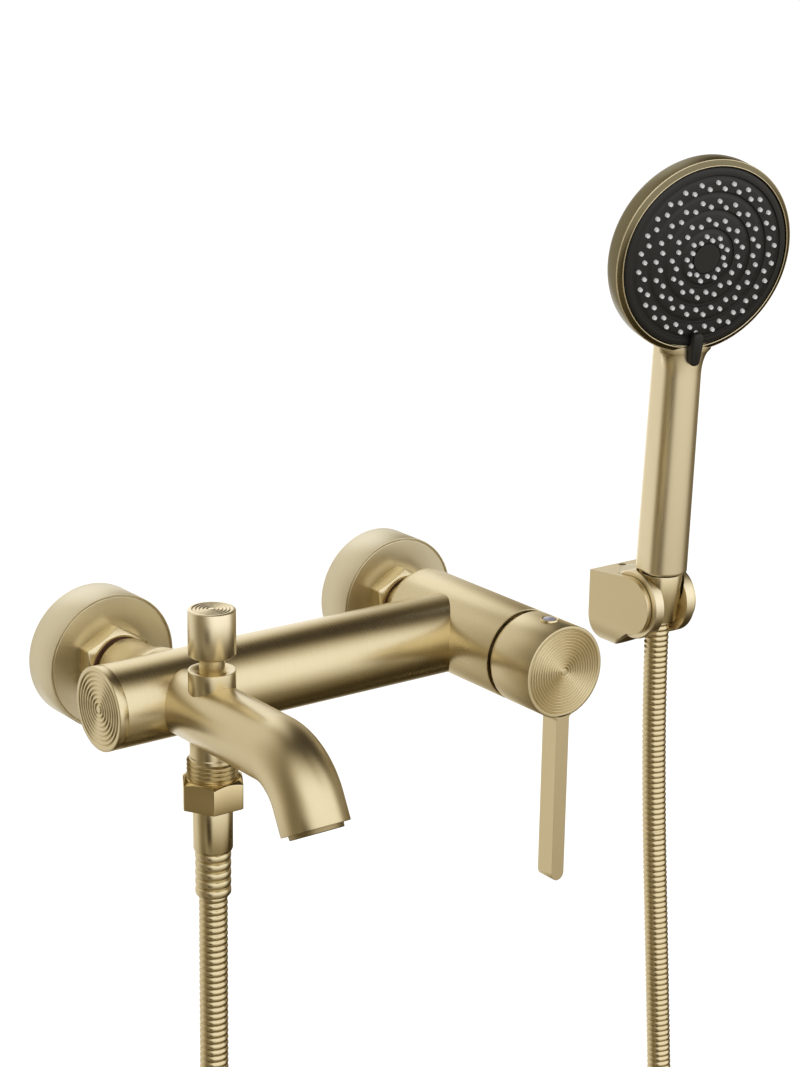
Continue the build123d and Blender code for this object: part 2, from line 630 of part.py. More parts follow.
def holder_base():
    """Wall bracket with two cheeks that carry the turning fork."""
    wall = HOLDER_PIVOT_Y
    side = extrude(Plane.YZ * holder_side_profile(), HOLDER_WIDTH, both=True)
    back = Plane(origin=(0, wall, 0), x_dir=(1, 0, 0), z_dir=(0, -1, 0))
    front = Plane(origin=(0, -FORK_R, 0), x_dir=(1, 0, 0), z_dir=(0, -1, 0))
    block = loft([
        back * holder_front_outline(HOLDER_WIDTH, HOLDER_BOTTOM_Z),
        front * holder_front_outline(HOLDER_FRONT_WIDTH, HOLDER_BOTTOM_Z),
    ])
    solid = side & block
    inner = FORK_HALF_WIDTH + CHEEK_GAP
    solid -= rod("x", FORK_R + CHEEK_GAP, -inner, inner)
    solid -= Pos(0, -FORK_R, 0) * Box(2 * inner, 2 * FORK_R, 4 * FORK_R)
    ahead = -2 * FORK_R
    swing = make_face(Polyline(
        (ahead, HOSE_SLOT_TOP[1]), HOSE_SLOT_TOP, HOSE_SLOT_FOOT, (ahead, HOSE_SLOT_FOOT[1]), close=True
    ))
    solid -= extrude(Plane.YZ * swing, HOSE_SLOT_WIDTH / 2, both=True)
    depth = HOLDER_SCALLOP_TOP_Z - 1.2 * HOLDER_BOTTOM_Z
    scallop = lathe([(0, 0), (depth, -depth), (0, -depth)])
    solid -= Pos(0, HOLDER_SCALLOP_Y, HOLDER_SCALLOP_TOP_Z) * scallop
    pin_reach = HOLDER_FRONT_WIDTH / 2 - HOLDER_PIN_COVER
    solid -= rod("x", HOLDER_PIN_R, -pin_reach, pin_reach)
    plate_z = (HOLDER_TOP_Z + HOLDER_BOTTOM_Z) / 2
    plate_pocket = Box(HOLDER_PLATE_WIDTH, HOLDER_PLATE_THICK, HOLDER_PLATE_HEIGHT)
    solid -= Pos(0, wall - HOLDER_PLATE_THICK / 2, plate_z) * plate_pocket
    head_room = Box(HOLDER_PLATE_WIDTH - 6.0, HOLDER_SCREW_ROOM, HOLDER_PLATE_HEIGHT - 3.0)
    solid -= Pos(0, wall - HOLDER_PLATE_THICK - HOLDER_SCREW_ROOM / 2, plate_z) * head_room
    plate_top = plate_z + HOLDER_PLATE_HEIGHT / 2
    solid -= rod("z", GRUB_SCREW_R, plate_top - 0.5, HOLDER_TOP_Z + 5.0, 0, wall - HOLDER_GRUB_Y)
    return holder_pivot() * solid


def holder_wall_plate():
    """Steel plate that two wall screws hold; the base slides over it."""
    wall = HOLDER_PIVOT_Y
    plate_z = (HOLDER_TOP_Z + HOLDER_BOTTOM_Z) / 2
    plate = Pos(0, wall - HOLDER_PLATE_THICK / 2, plate_z) * Box(
        HOLDER_PLATE_WIDTH, HOLDER_PLATE_THICK, HOLDER_PLATE_HEIGHT
    )
    for z in (plate_z - HOLDER_SCREW_SPACING / 2, plate_z + HOLDER_SCREW_SPACING / 2):
        plate -= rod("y", HOLDER_SCREW_HOLE_R, wall - HOLDER_PLATE_THICK, wall, 0, z)
    return holder_pivot() * plate


def holder_grub_screw():
    """Grub screw in the holder's top that locks the base to its wall plate."""
    wall = HOLDER_PIVOT_Y
    plate_top = (HOLDER_TOP_Z + HOLDER_BOTTOM_Z + HOLDER_PLATE_HEIGHT) / 2
    screw = rod("z", GRUB_SCREW_R, plate_top, HOLDER_TOP_Z - 0.8, 0, wall - HOLDER_GRUB_Y)
    socket = extrude(RegularPolygon(1.15, 6), 1.6)
    screw -= Pos(0, wall - HOLDER_GRUB_Y, HOLDER_TOP_Z - 2.4) * socket
    return holder_pivot() * screw


def holder_pin(side):
    """Short pivot pin from one cheek into the fork's tine."""
    start = side * (FORK_HALF_WIDTH - 3.3)
    end = side * (HOLDER_FRONT_WIDTH / 2 - HOLDER_PIN_COVER)
    return holder_pivot() * rod("x", HOLDER_PIN_R, start, end)


def fork_frame():
    """The fork's own frame at the pivot, leant forward as the photograph shows it."""
    return holder_pivot() * Rot(HANDSET_LEAN, 0, 0)


def handset_frame():
    """The hand shower's frame: +Z along its handle, turned in its seat, level with the pivot."""
    return fork_frame() * Pos(0, -HANDSET_AXIS_OFFSET, 0) * Rot(0, 0, HANDSET_TURN)


def cone_seat():
    """The fork's tapered seat: the cone nut's outline widened by the fit and carried on upwards."""
    return lathe([
        (0, CONE_NUT_BOTTOM_Z), (CONE_NUT_BOTTOM_R + CONE_FIT, CONE_NUT_BOTTOM_Z),
        (CONE_NUT_SHOULDER_R + CONE_FIT, CONE_NUT_SHOULDER_Z), (CONE_NUT_TOP_R + 0.4, CONE_NUT_TOP_Z),
        (CONE_NUT_TOP_R + 0.4, 2 * FORK_R), (0, 2 * FORK_R),
    ])


def holder_fork():
    """Round fork with a tapered seat that is open to the front."""
    drum = rod("x", FORK_R, -FORK_HALF_WIDTH, FORK_HALF_WIDTH)
    drum = chamfer(drum.edges().filter_by(GeomType.CIRCLE), 0.6)
    drum -= Pos(0, -HANDSET_AXIS_OFFSET, 0) * cone_seat()
    drum -= Pos(0, -HANDSET_AXIS_OFFSET - FORK_R, 0) * Box(FORK_SLOT, 2 * FORK_R, 3 * FORK_R)
    drum -= rod("z", FORK_SLOT / 2, -FORK_R, FORK_R, 0, -HANDSET_AXIS_OFFSET)
    drum -= rod("x", HOLDER_PIN_R + RUNNING_GAP, -FORK_HALF_WIDTH, -FORK_HALF_WIDTH + 3.4)
    drum -= rod("x", HOLDER_PIN_R + RUNNING_GAP, FORK_HALF_WIDTH - 3.4, FORK_HALF_WIDTH)
    return fork_frame() * drum


def hose_cone_nut():
    """Conical hose nut that screws on the hand shower and sits in the fork."""
    nut = lathe([
        (HOSE_BORE_R, CONE_NUT_BOTTOM_Z), (CONE_NUT_BOTTOM_R, CONE_NUT_BOTTOM_Z),
        (CONE_NUT_SHOULDER_R, CONE_NUT_SHOULDER_Z), (CONE_NUT_TOP_R, CONE_NUT_TOP_Z),
        (HALF_INCH_THREAD_R, CONE_NUT_TOP_Z), (HALF_INCH_THREAD_R, CONE_NUT_TOP_Z - HANDSET_THREAD_DEPTH),
        (HOSE_BORE_R, CONE_NUT_TOP_Z - HANDSET_THREAD_DEPTH),
    ])
    return handset_frame() * nut


def handset_washer():
    """Rubber washer inside the cone nut."""
    bottom = CONE_NUT_TOP_Z - HANDSET_THREAD_DEPTH
    ring = rod("z", HALF_INCH_THREAD_R, bottom, bottom + HOSE_WASHER)
    ring -= rod("z", HOSE_BORE_R, bottom, bottom + HOSE_WASHER)
    return handset_frame() * ring


def hose_seam():
    """Route point where the hand shower's stretch of hose meets the fixed one."""
    frame = handset_frame() * Pos(0, 0, CONE_NUT_BOTTOM_Z - HOSE_UPPER - HOSE_SEAM_GAP)
    end = frame.position
    return (end.X, end.Y, end.Z - AXIS_Z)


def hose_upper():
    """Ribbed stretch of hose under the cone nut, on the hand shower."""
    count = round(HOSE_UPPER / HOSE_PITCH)
    run = ribs(HOSE_R, HOSE_ROOT_R, HOSE_BORE_R, HOSE_UPPER / count, count)
    return handset_frame() * Pos(0, 0, CONE_NUT_BOTTOM_Z) * run


def handle_section(z, radius, flat):
    """Handle section: round front and back, flat sides."""
    return Pos(0, 0, z) * (Circle(radius) & Rectangle(2 * flat, 3 * radius))


def face_frame():
    """The spray face's frame: +Z out of the face, at its centre."""
    return handset_frame() * Pos(0, -FACE_FORWARD, FACE_Z) * Rot(90 + FACE_PITCH, 0, 0)


def handset_shell():
    """Handle and head of the hand shower in one shell."""
    handle = loft([
        handle_section(HANDLE_BOTTOM_Z, HANDLE_BOTTOM_R, HANDLE_BOTTOM_FLAT),
        handle_section(HANDLE_TOP_Z, HANDLE_TOP_R, HANDLE_TOP_FLAT),
    ])
    back = -(LIP_DROP + HEAD_BARREL)
    dome = back - HEAD_DOME
    head = lathe([
        (0, dome), (HEAD_R * 0.45, dome + 0.8), (HEAD_R * 0.8, dome + 4.5), (HEAD_R - 1.0, back - 1.5),
        (HEAD_R, back), (HEAD_R, -LIP_DROP), (0, -LIP_DROP),
    ])
    face_place = Pos(0, -FACE_FORWARD, FACE_Z) * Rot(90 + FACE_PITCH, 0, 0)
    solid = handle + face_place * head
    pocket_r = FACE_R + FACE_GAP
    solid -= face_place * rod("z", pocket_r, -FACE_THICK - FACE_GAP, 10.0)
    solid -= face_place * rod("z", HEAD_R + HEAD_DOME, -LIP_DROP, HEAD_R)
    thread_end = CONE_NUT_TOP_Z - HANDSET_THREAD_DEPTH + HOSE_WASHER
    solid += rod("z", HALF_INCH_THREAD_R, thread_end, HANDLE_BOTTOM_Z)
    solid -= rod("z", HANDLE_BORE_R, thread_end, HANDLE_BOTTOM_Z + HANDLE_BORE_DEPTH)
    return handset_frame() * solid


def handset_trim_ring():
    """Bright lip ring round the spray face."""
    ring = lathe([
        (FACE_R + FACE_GAP, -LIP_DROP), (HEAD_R, -LIP_DROP), (HEAD_R - 0.3, -LIP_DROP + 0.8),
        (FACE_R + FACE_GAP + 0.5, -0.4), (FACE_R + FACE_GAP, -0.4),
    ])
    return face_frame() * ring


def spray_face():
    """Turning spray face with its concentric ridges and the selector tab."""
    ridge_radii = (13.7, 22.0, 30.5)
    points = [(0, -FACE_THICK), (FACE_R, -FACE_THICK), (FACE_R, -0.6), (FACE_R - 0.6, 0)]
    for r in reversed(ridge_radii):
        points += [(r + 1.2, 0), (r, 0.6), (r - 1.2, 0)]
    points += [(7.2, 0), (7.2, -1.0), (0, -1.0)]
    face = lathe(points)
    tab = Pos(0, -(FACE_R - TAB_LENGTH / 2 + 9.0), TAB_HEIGHT / 2) * Box(TAB_WIDTH, TAB_LENGTH, TAB_HEIGHT)
    tab = fillet(tab.edges().filter_by(Axis.Z), TAB_WIDTH / 2 - 0.3)
    return face_frame() * (face + tab)


def spray_center_cap():
    """Flat disc in the middle of the spray face."""
    return face_frame() * rod("z", 7.2, -1.0, 0.3)


def cartridge_body():
    """Ceramic cartridge with the bore that its spindle turns in."""
    body = rod("y", CARTRIDGE_R, -CARTRIDGE_NUT_FRONT_Y, -CARTRIDGE_REAR_Y, RIGHT_X, AXIS_Z)
    body += rod("y", CARTRIDGE_NECK_R, -CARTRIDGE_FRONT_Y, -CARTRIDGE_NUT_FRONT_Y, RIGHT_X, AXIS_Z)
    bore_rear = CARTRIDGE_FRONT_Y - SPINDLE_DEPTH
    body -= rod("y", SPINDLE_R + RUNNING_GAP, -CARTRIDGE_FRONT_Y, -bore_rear, RIGHT_X, AXIS_Z)
    return body


def cartridge_nut():
    """Ring nut that holds the cartridge in the housing."""
    rear = CARTRIDGE_NUT_FRONT_Y - CARTRIDGE_NUT_THICK
    nut = rod("y", CARTRIDGE_NUT_R, -CARTRIDGE_NUT_FRONT_Y, -rear, RIGHT_X, AXIS_Z)
    return nut - rod("y", CARTRIDGE_R, -CARTRIDGE_NUT_FRONT_Y, -rear, RIGHT_X, AXIS_Z)


def cartridge_spindle():
    """Turning spindle with two ears for the tilt pin."""
    rear = CARTRIDGE_FRONT_Y - SPINDLE_DEPTH + 0.3
    spindle = rod("y", SPINDLE_R, -SPINDLE_FRONT_Y, -rear, RIGHT_X, AXIS_Z)
    ear_x = STEM_WIDTH / 2 + 0.1
    ear_wide = SPINDLE_R - ear_x - 1.2
    for side in (-1, 1):
        centre = RIGHT_X + side * (ear_x + ear_wide / 2)
        length = TILT_AXIS_Y - SPINDLE_FRONT_Y
        spindle += Pos(centre, -(SPINDLE_FRONT_Y + length / 2), AXIS_Z) * Box(ear_wide, length, 2 * STEM_EYE_R)
        start = RIGHT_X + side * ear_x
        spindle += rod("x", STEM_EYE_R, start, start + side * ear_wide, -TILT_AXIS_Y, AXIS_Z)
    return spindle - rod("x", TILT_PIN_R, RIGHT_X - 10, RIGHT_X + 10, -TILT_AXIS_Y, AXIS_Z)


def tilt_pin():
    """Cross pin that the lever's stem tilts on."""
    reach = SPINDLE_R - 1.2
    return rod("x", TILT_PIN_R, RIGHT_X - reach, RIGHT_X + reach, -TILT_AXIS_Y, AXIS_Z)


def cartridge_stem():
    """Square stem with an eye on the tilt pin."""
    eye = rod("x", STEM_EYE_R, RIGHT_X - STEM_WIDTH / 2, RIGHT_X + STEM_WIDTH / 2, -TILT_AXIS_Y, AXIS_Z)
    length = STEM_FRONT_Y - TILT_AXIS_Y
    eye += Pos(RIGHT_X, -(TILT_AXIS_Y + length / 2), AXIS_Z) * Box(STEM_WIDTH, length, STEM_WIDTH)
    return eye - rod("x", TILT_PIN_R + RUNNING_GAP, RIGHT_X - 10, RIGHT_X + 10, -TILT_AXIS_Y, AXIS_Z)


def lever_bar():
    """Flat bar that hangs from the cap, round at its foot."""
    half = LEVER_WIDTH / 2
    outline = make_face(
        Polyline((-half, -(LEVER_LENGTH - half)), (-half, 0), (half, 0), (half, -(LEVER_LENGTH - half)))
        + ThreePointArc((half, -(LEVER_LENGTH - half)), (0, -LEVER_LENGTH), (-half, -(LEVER_LENGTH - half)))
    )
    bar = extrude(Plane.XZ * outline, LEVER_DEPTH)
    bar = fillet(bar.edges().filter_by(Axis.Z), 0.6)
    return Pos(RIGHT_X, -(CAP_FRONT_Y - LEVER_DEPTH), AXIS_Z) * bar


def lever_handle():
    """Round cap with its grooved front and the bar that moves it."""
    rim = HOUSING_R - 1.2
    profile = [(0, CAP_REAR_Y), (HOUSING_R - 0.5, CAP_REAR_Y), (HOUSING_R, CAP_REAR_Y + 0.5)]
    profile += [(HOUSING_R, CAP_FRONT_Y - 0.4), (HOUSING_R - 0.4, CAP_FRONT_Y)]
    profile += list(reversed(grooved_face(rim, 1.0, CAP_FRONT_Y, LEVER_GROOVES)))
    cap = facing_room(RIGHT_X, AXIS_Z) * lathe(profile)
    bar = lever_bar()
    bar -= rod("y", rim, -CAP_FRONT_Y - 1.0, -CAP_REAR_Y, RIGHT_X, AXIS_Z)
    solid = cap + bar
    cavity_floor = CAP_FRONT_Y - CAP_FRONT_WALL
    cavity = rod("y", HOUSING_R - CAP_WALL, -cavity_floor, -CAP_REAR_Y, RIGHT_X, AXIS_Z)
    cavity -= rod("y", CAP_HUB_R, -cavity_floor, -CAP_HUB_REAR_Y, RIGHT_X, AXIS_Z)
    solid -= cavity
    socket = STEM_FRONT_Y - CAP_HUB_REAR_Y
    solid -= Pos(RIGHT_X, -(CAP_HUB_REAR_Y + socket / 2), AXIS_Z) * Box(STEM_WIDTH, socket, STEM_WIDTH)
    solid -= rod("z", INDICATOR_R, AXIS_Z + CAP_HUB_R, AXIS_Z + HOUSING_R + 1.0, RIGHT_X, -INDICATOR_Y)
    solid -= rod("z", GRUB_SCREW_R, AXIS_Z + STEM_WIDTH / 2, AXIS_Z + CAP_HUB_R + 1.0, RIGHT_X, -INDICATOR_Y)
    return solid


def lever_grub_screw():
    """Grub screw that clamps the cap's hub on the stem."""
    bottom = AXIS_Z + STEM_WIDTH / 2
    return rod("z", GRUB_SCREW_R, bottom, AXIS_Z + CAP_HUB_R, RIGHT_X, -INDICATOR_Y)


def indicator_plug():
    """Domed clear plug over the grub screw's hole."""
    top = HOUSING_R - 0.1
    plug = lathe([(0, HOUSING_R - CAP_WALL), (INDICATOR_R, HOUSING_R - CAP_WALL), (INDICATOR_R, top),
                  (INDICATOR_R * 0.6, top + 0.5), (0, top + 0.65)])
    return Pos(RIGHT_X, -INDICATOR_Y, AXIS_Z) * plug


def nodes():
    """Every node of the part by name."""
    parts = {}
    for name, x in (("left", LEFT_X), ("right", RIGHT_X)):
        parts[f"eccentric_union_{name}"] = eccentric_union(x)
        parts[f"rosette_{name}"] = rosette(x)
        parts[f"union_nut_{name}"] = union_nut(x)
        parts[f"inlet_washer_{name}"] = inlet_washer(x)
    for piece in (
        mixer_body, housing_shroud, end_cap, spout, aerator_housing, aerator_insert,
        diverter_collar, diverter_knob, diverter_stem, diverter_valve_disc, diverter_spring,
        shower_outlet, outlet_washer, hose_hex_nut, hose_ferrule, hose_bend_sleeve,
        hose_main, hose_upper,
        cartridge_body, cartridge_nut, cartridge_spindle, tilt_pin, cartridge_stem,
        lever_handle, lever_grub_screw, indicator_plug,
        holder_base, holder_wall_plate, holder_grub_screw, holder_fork,
        hose_cone_nut, handset_washer, handset_shell, handset_trim_ring,
        spray_face, spray_center_cap,
    ):
        parts[piece.__name__] = piece()
    for name, side in (("left", -1), ("right", 1)):
        parts[f"holder_pin_{name}"] = holder_pin(side)
    return parts


if __name__ == "__main__":
    os.makedirs("parts", exist_ok=True)
    for name, shape in nodes().items():
        export_step(shape, f"parts/{name}.step")
        print(name, round(shape.volume), "mm3", len(shape.solids()), "solid(s)")
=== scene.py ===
# %% [markdown]
# # A wall-mounted bath mixer with a hand shower
#
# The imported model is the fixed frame: it holds every piece at its true size. This lesson
# dresses it. Most metal pieces are turned or bent tubes, so they are made again as smooth
# bmesh shapes with fine edges, and the pieces that nobody sees keep their CAD form and get
# a finish. All sizes below are in millimetres and are scaled to metres once, at the end of
# each piece.

import math

import bmesh
import bpy
from mathutils import Matrix, Vector


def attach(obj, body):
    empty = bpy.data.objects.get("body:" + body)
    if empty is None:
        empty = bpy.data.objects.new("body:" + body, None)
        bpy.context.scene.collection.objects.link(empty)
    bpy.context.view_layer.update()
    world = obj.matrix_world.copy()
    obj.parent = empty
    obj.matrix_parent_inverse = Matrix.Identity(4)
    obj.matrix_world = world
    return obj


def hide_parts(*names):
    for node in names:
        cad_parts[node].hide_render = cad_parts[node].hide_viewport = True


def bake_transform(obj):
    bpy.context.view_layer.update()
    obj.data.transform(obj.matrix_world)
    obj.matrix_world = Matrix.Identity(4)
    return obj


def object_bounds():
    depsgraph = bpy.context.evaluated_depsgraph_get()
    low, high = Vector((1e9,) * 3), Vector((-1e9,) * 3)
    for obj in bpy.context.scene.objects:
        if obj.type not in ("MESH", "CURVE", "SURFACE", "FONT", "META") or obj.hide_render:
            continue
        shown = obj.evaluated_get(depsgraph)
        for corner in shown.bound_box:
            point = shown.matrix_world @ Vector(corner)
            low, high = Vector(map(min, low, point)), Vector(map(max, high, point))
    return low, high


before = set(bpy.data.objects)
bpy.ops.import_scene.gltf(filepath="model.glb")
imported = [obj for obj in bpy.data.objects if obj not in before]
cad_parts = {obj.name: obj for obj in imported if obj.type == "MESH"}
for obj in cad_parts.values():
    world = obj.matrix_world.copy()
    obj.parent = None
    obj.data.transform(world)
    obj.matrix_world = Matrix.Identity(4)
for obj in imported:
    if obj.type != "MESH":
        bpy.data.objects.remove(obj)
cad_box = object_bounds()
scene = bpy.context.scene
print("CAD box:", cad_box)

# %% [markdown]
# ## The camera
#
# A photograph fixes the eye, the target and the lens together. They were fitted on the
# 150 mm between the wall pipes and on the circles of the rosettes, the lever and the hand
# shower. The frame is upright, so the 36 mm of the sensor lie along its height.

# %% Camera from the photograph
AXIS_Z = 7.5
EYE = Vector((-588.5, -904.3, 357.9 + AXIS_Z)) / 1000
TARGET = Vector((89.55, 0.0, 24.93 + AXIS_Z)) / 1000
ROLL = math.radians(0.94)
FOCAL_PIXELS = 2549.2
IMAGE_HEIGHT = 1067

forward = (TARGET - EYE).normalized()
level_right = forward.cross(Vector((0, 0, 1))).normalized()
level_up = level_right.cross(forward)
right = math.cos(ROLL) * level_right + math.sin(ROLL) * level_up
up = math.cos(ROLL) * level_up - math.sin(ROLL) * level_right
camera_data = bpy.data.cameras.new("camera")
camera_data.lens = FOCAL_PIXELS * 36 / IMAGE_HEIGHT
camera_data.clip_start = 0.01
camera = bpy.data.objects.new("camera", camera_data)
camera.matrix_world = Matrix((right, up, -forward)).transposed().to_4x4()
camera.matrix_world.translation = EYE
scene.collection.objects.link(camera)
scene.camera = camera
print("lens", round(camera_data.lens, 2), "mm")

# %% [markdown]
# ## Light
#
# Satin metal has hardly a colour of its own: it shows the room. The photograph's bands
# come from a bright front, a dimmer back on the left, and dark gaps overhead, below and in
# one upright strip. A world shader gives that room to glossy rays as a few soft patches of
# direction, while plain rays get an even light and the camera sees white.

# %% The studio as a world shader
scene.view_settings.view_transform = "Standard"
world = bpy.data.worlds.new("studio")
scene.world = world
world.use_nodes = True
nodes = world.node_tree.nodes
links = world.node_tree.links
nodes.clear()


def set_inputs(node, values):
    """Sets several of a node's own values by the names of their sockets."""
    for socket, value in values.items():
        node.inputs[socket].default_value = value


def connect(tree, *pairs):
    """Links an output to an input, for each pair."""
    for source_socket, target_socket in pairs:
        tree.links.new(source_socket, target_socket)


def world_math(operation, first, second=None):
    """One Math node of the world; the inputs are sockets or numbers."""
    node = nodes.new("ShaderNodeMath")
    node.operation = operation
    for index, value in enumerate((first, second)):
        if value is None:
            continue
        if isinstance(value, (int, float)):
            node.inputs[index].default_value = value
        else:
            links.new(value, node.inputs[index])
    return node.outputs[0]


def soft_window(value, low_edge, low_full, high_full, high_edge):
    """1 between the two full values, fading to 0 at the edges."""
    rise = nodes.new("ShaderNodeMapRange")
    fall = nodes.new("ShaderNodeMapRange")
    for node, start, end in ((rise, low_edge, low_full), (fall, high_edge, high_full)):
        node.interpolation_type = "SMOOTHSTEP"
        links.new(value, node.inputs["Value"])
        rises = start < end
        set_inputs(node, {"From Min": min(start, end), "From Max": max(start, end)})
        set_inputs(node, {"To Min": 0 if rises else 1, "To Max": 1 if rises else 0})
    return world_math("MULTIPLY", rise.outputs[0], fall.outputs[0])


direction = nodes.new("ShaderNodeTexCoord").outputs["Generated"]
split = nodes.new("ShaderNodeSeparateXYZ")
links.new(direction, split.inputs[0])
toward_room = world_math("MULTIPLY", split.outputs["Y"], -1)
bearing = world_math("MULTIPLY", world_math("ARCTAN2", split.outputs["X"], toward_room), 180 / math.pi)
height = world_math("MULTIPLY", world_math("ARCSINE", split.outputs["Z"]), 180 / math.pi)
# a bearing that runs on past the wall, for the patch behind on the left
bearing_left = world_math("WRAP", bearing, 0)
set_inputs(bearing_left.node, {2: -360})

PATCHES = (
    (bearing, (-76, -27, 54, 79), (-42, 6, 22, 72), 1.0),
    (bearing, (-95, -42, 5, 38), (15, 38, 55, 88), 0.5),
    (bearing_left, (-235, -205, -140, -95), (-85, -20, 45, 88), 0.68),
    (bearing_left, (-130, -100, -70, -45), (-60, -30, 50, 80), 0.16),
    (bearing, (114, 165, 181, 182), (-60, -10, 10, 90), 0.58),
    (bearing, (128, 150, 181, 182), (-40, -22, 0, 16), 0.25),
    (bearing, (60, 85, 125, 140), (-25, -5, 12, 36), 0.24),
    (bearing, (-95, -55, 20, 75), (-80, -50, -30, -5), 0.22),
    (bearing, (-70, -58, -47, -34), (-38, -25, -9, 4), -0.65),
)
total = None
for angle, across, upright, strength in PATCHES:
    patch = world_math("MULTIPLY", soft_window(angle, *across), soft_window(height, *upright))
    patch = world_math("MULTIPLY", patch, strength)
    total = patch if total is None else world_math("ADD", total, patch)
total = world_math("MAXIMUM", world_math("MINIMUM", total, 1.0), 0.0)
total = world_math("ADD", total, 0.03)

# the dimmer the room, the browner the gold looks: green and above all blue fall off faster
room_colour = nodes.new("ShaderNodeCombineXYZ")
for channel, (power, strength) in zip("XYZ", ((1.0, 1.10), (1.12, 1.085), (1.42, 1.06))):
    links.new(world_math("MULTIPLY", world_math("POWER", total, power), strength), room_colour.inputs[channel])

rays = nodes.new("ShaderNodeLightPath")
glossy_room = nodes.new("ShaderNodeBackground")
even_light = nodes.new("ShaderNodeBackground")
set_inputs(even_light, {"Color": (1, 1, 1, 1), "Strength": 0.75})
white = nodes.new("ShaderNodeBackground")
set_inputs(white, {"Color": (1, 1, 1, 1)})
for_gloss = nodes.new("ShaderNodeMixShader")
for_camera = nodes.new("ShaderNodeMixShader")
world_output = nodes.new("ShaderNodeOutputWorld")
connect(
    world.node_tree,
    (room_colour.outputs["Vector"], glossy_room.inputs["Color"]),
    (rays.outputs["Is Glossy Ray"], for_gloss.inputs["Fac"]),
    (even_light.outputs[0], for_gloss.inputs[1]),
    (glossy_room.outputs[0], for_gloss.inputs[2]),
    (rays.outputs["Is Camera Ray"], for_camera.inputs["Fac"]),
    (for_gloss.outputs[0], for_camera.inputs[1]),
    (white.outputs[0], for_camera.inputs[2]),
    (for_camera.outputs[0], world_output.inputs["Surface"]),
)
print("studio patches:", len(PATCHES))

# %% Key lamp and floor
key_data = bpy.data.lights.new("key", "AREA")
key_data.shape = "RECTANGLE"
key_data.size = 1.2
key_data.size_y = 0.9
key_data.energy = 9
key = bpy.data.objects.new("key", key_data)
key.location = (-0.6, -1.5, 1.5)
key.rotation_euler = (Vector((0.08, -0.05, 0)) - key.location).to_track_quat("-Z", "Y").to_euler()
key.visible_glossy = False
scene.collection.objects.link(key)

FLOOR_Z = cad_box[0][2] - 0.004
floor_bm = bmesh.new()
bmesh.ops.create_grid(floor_bm, x_segments=1, y_segments=1, size=12, matrix=Matrix.Translation((0, 0, FLOOR_Z)))
floor_mesh = bpy.data.meshes.new("floor")
floor_bm.to_mesh(floor_mesh)
floor_bm.free()
floor = bpy.data.objects.new("floor", floor_mesh)
scene.collection.objects.link(floor)
floor.visible_glossy = False
floor_material = bpy.data.materials.new("pale_floor")
floor_material.use_nodes = True
floor_nodes = floor_material.node_tree.nodes
floor_nodes.clear()
floor_diffuse = floor_nodes.new("ShaderNodeBsdfDiffuse")
set_inputs(floor_diffuse, {"Color": (0.93, 0.93, 0.93, 1)})
floor_glow = floor_nodes.new("ShaderNodeEmission")
floor_rays = floor_nodes.new("ShaderNodeLightPath")
floor_level = floor_nodes.new("ShaderNodeMath")
floor_level.operation = "MULTIPLY"
set_inputs(floor_level, {1: 0.4})
floor_sum = floor_nodes.new("ShaderNodeAddShader")
floor_output = floor_nodes.new("ShaderNodeOutputMaterial")
connect(
    floor_material.node_tree,
    (floor_rays.outputs["Is Camera Ray"], floor_level.inputs[0]),
    (floor_level.outputs[0], floor_glow.inputs["Strength"]),
    (floor_diffuse.outputs[0], floor_sum.inputs[0]),
    (floor_glow.outputs[0], floor_sum.inputs[1]),
    (floor_sum.outputs[0], floor_output.inputs["Surface"]),
)
floor_mesh.materials.append(floor_material)
print("floor at", round(FLOOR_Z, 4), "m")

# %% [markdown]
# ## Finishes
#
# Brushed plating is a clear metal with thousands of hair-fine scratches that run one way.
# One node group makes them for every metal: a noise stretched along the brushing gives the
# scratches, and a slow noise gives the hand-made unevenness. The group puts out a colour,
# a roughness and a height, and each material keeps its own Principled shader.

# %% The shared brushing group
def new_group(name, inputs, outputs):
    """A shader node group with its sockets; inputs are (name, kind, default)."""
    group = bpy.data.node_groups.new(name, "ShaderNodeTree")
    for socket, kind, default in inputs:
        made = group.interface.new_socket(socket, in_out="INPUT", socket_type=kind)
        if default is not None:
            made.default_value = default
    for socket, kind in outputs:
        group.interface.new_socket(socket, in_out="OUTPUT", socket_type=kind)
    return group, group.nodes.new("NodeGroupInput"), group.nodes.new("NodeGroupOutput")


brushing, source, result = new_group(
    "brushed_plating",
    (
        ("Stretched", "NodeSocketVector", None),
        ("Plain", "NodeSocketVector", None),
        ("Light Colour", "NodeSocketColor", (0.8, 0.7, 0.5, 1)),
        ("Deep Colour", "NodeSocketColor", (0.6, 0.5, 0.3, 1)),
        ("Scratches", "NodeSocketFloat", 0.3),
        ("Smooth Roughness", "NodeSocketFloat", 0.2),
        ("Rough Roughness", "NodeSocketFloat", 0.35),
    ),
    (("Colour", "NodeSocketColor"), ("Roughness", "NodeSocketFloat"), ("Height", "NodeSocketFloat")),
)
scratch = brushing.nodes.new("ShaderNodeTexNoise")
set_inputs(scratch, {"Scale": 1.0, "Detail": 4.0, "Roughness": 0.65})
cloud = brushing.nodes.new("ShaderNodeTexNoise")
set_inputs(cloud, {"Scale": 60.0, "Detail": 2.0})
blend_noise = brushing.nodes.new("ShaderNodeMix")
set_inputs(blend_noise, {"Factor": 0.3})
share = brushing.nodes.new("ShaderNodeMath")
share.operation = "MULTIPLY"
tint = brushing.nodes.new("ShaderNodeMix")
tint.data_type = "RGBA"
polish = brushing.nodes.new("ShaderNodeMix")
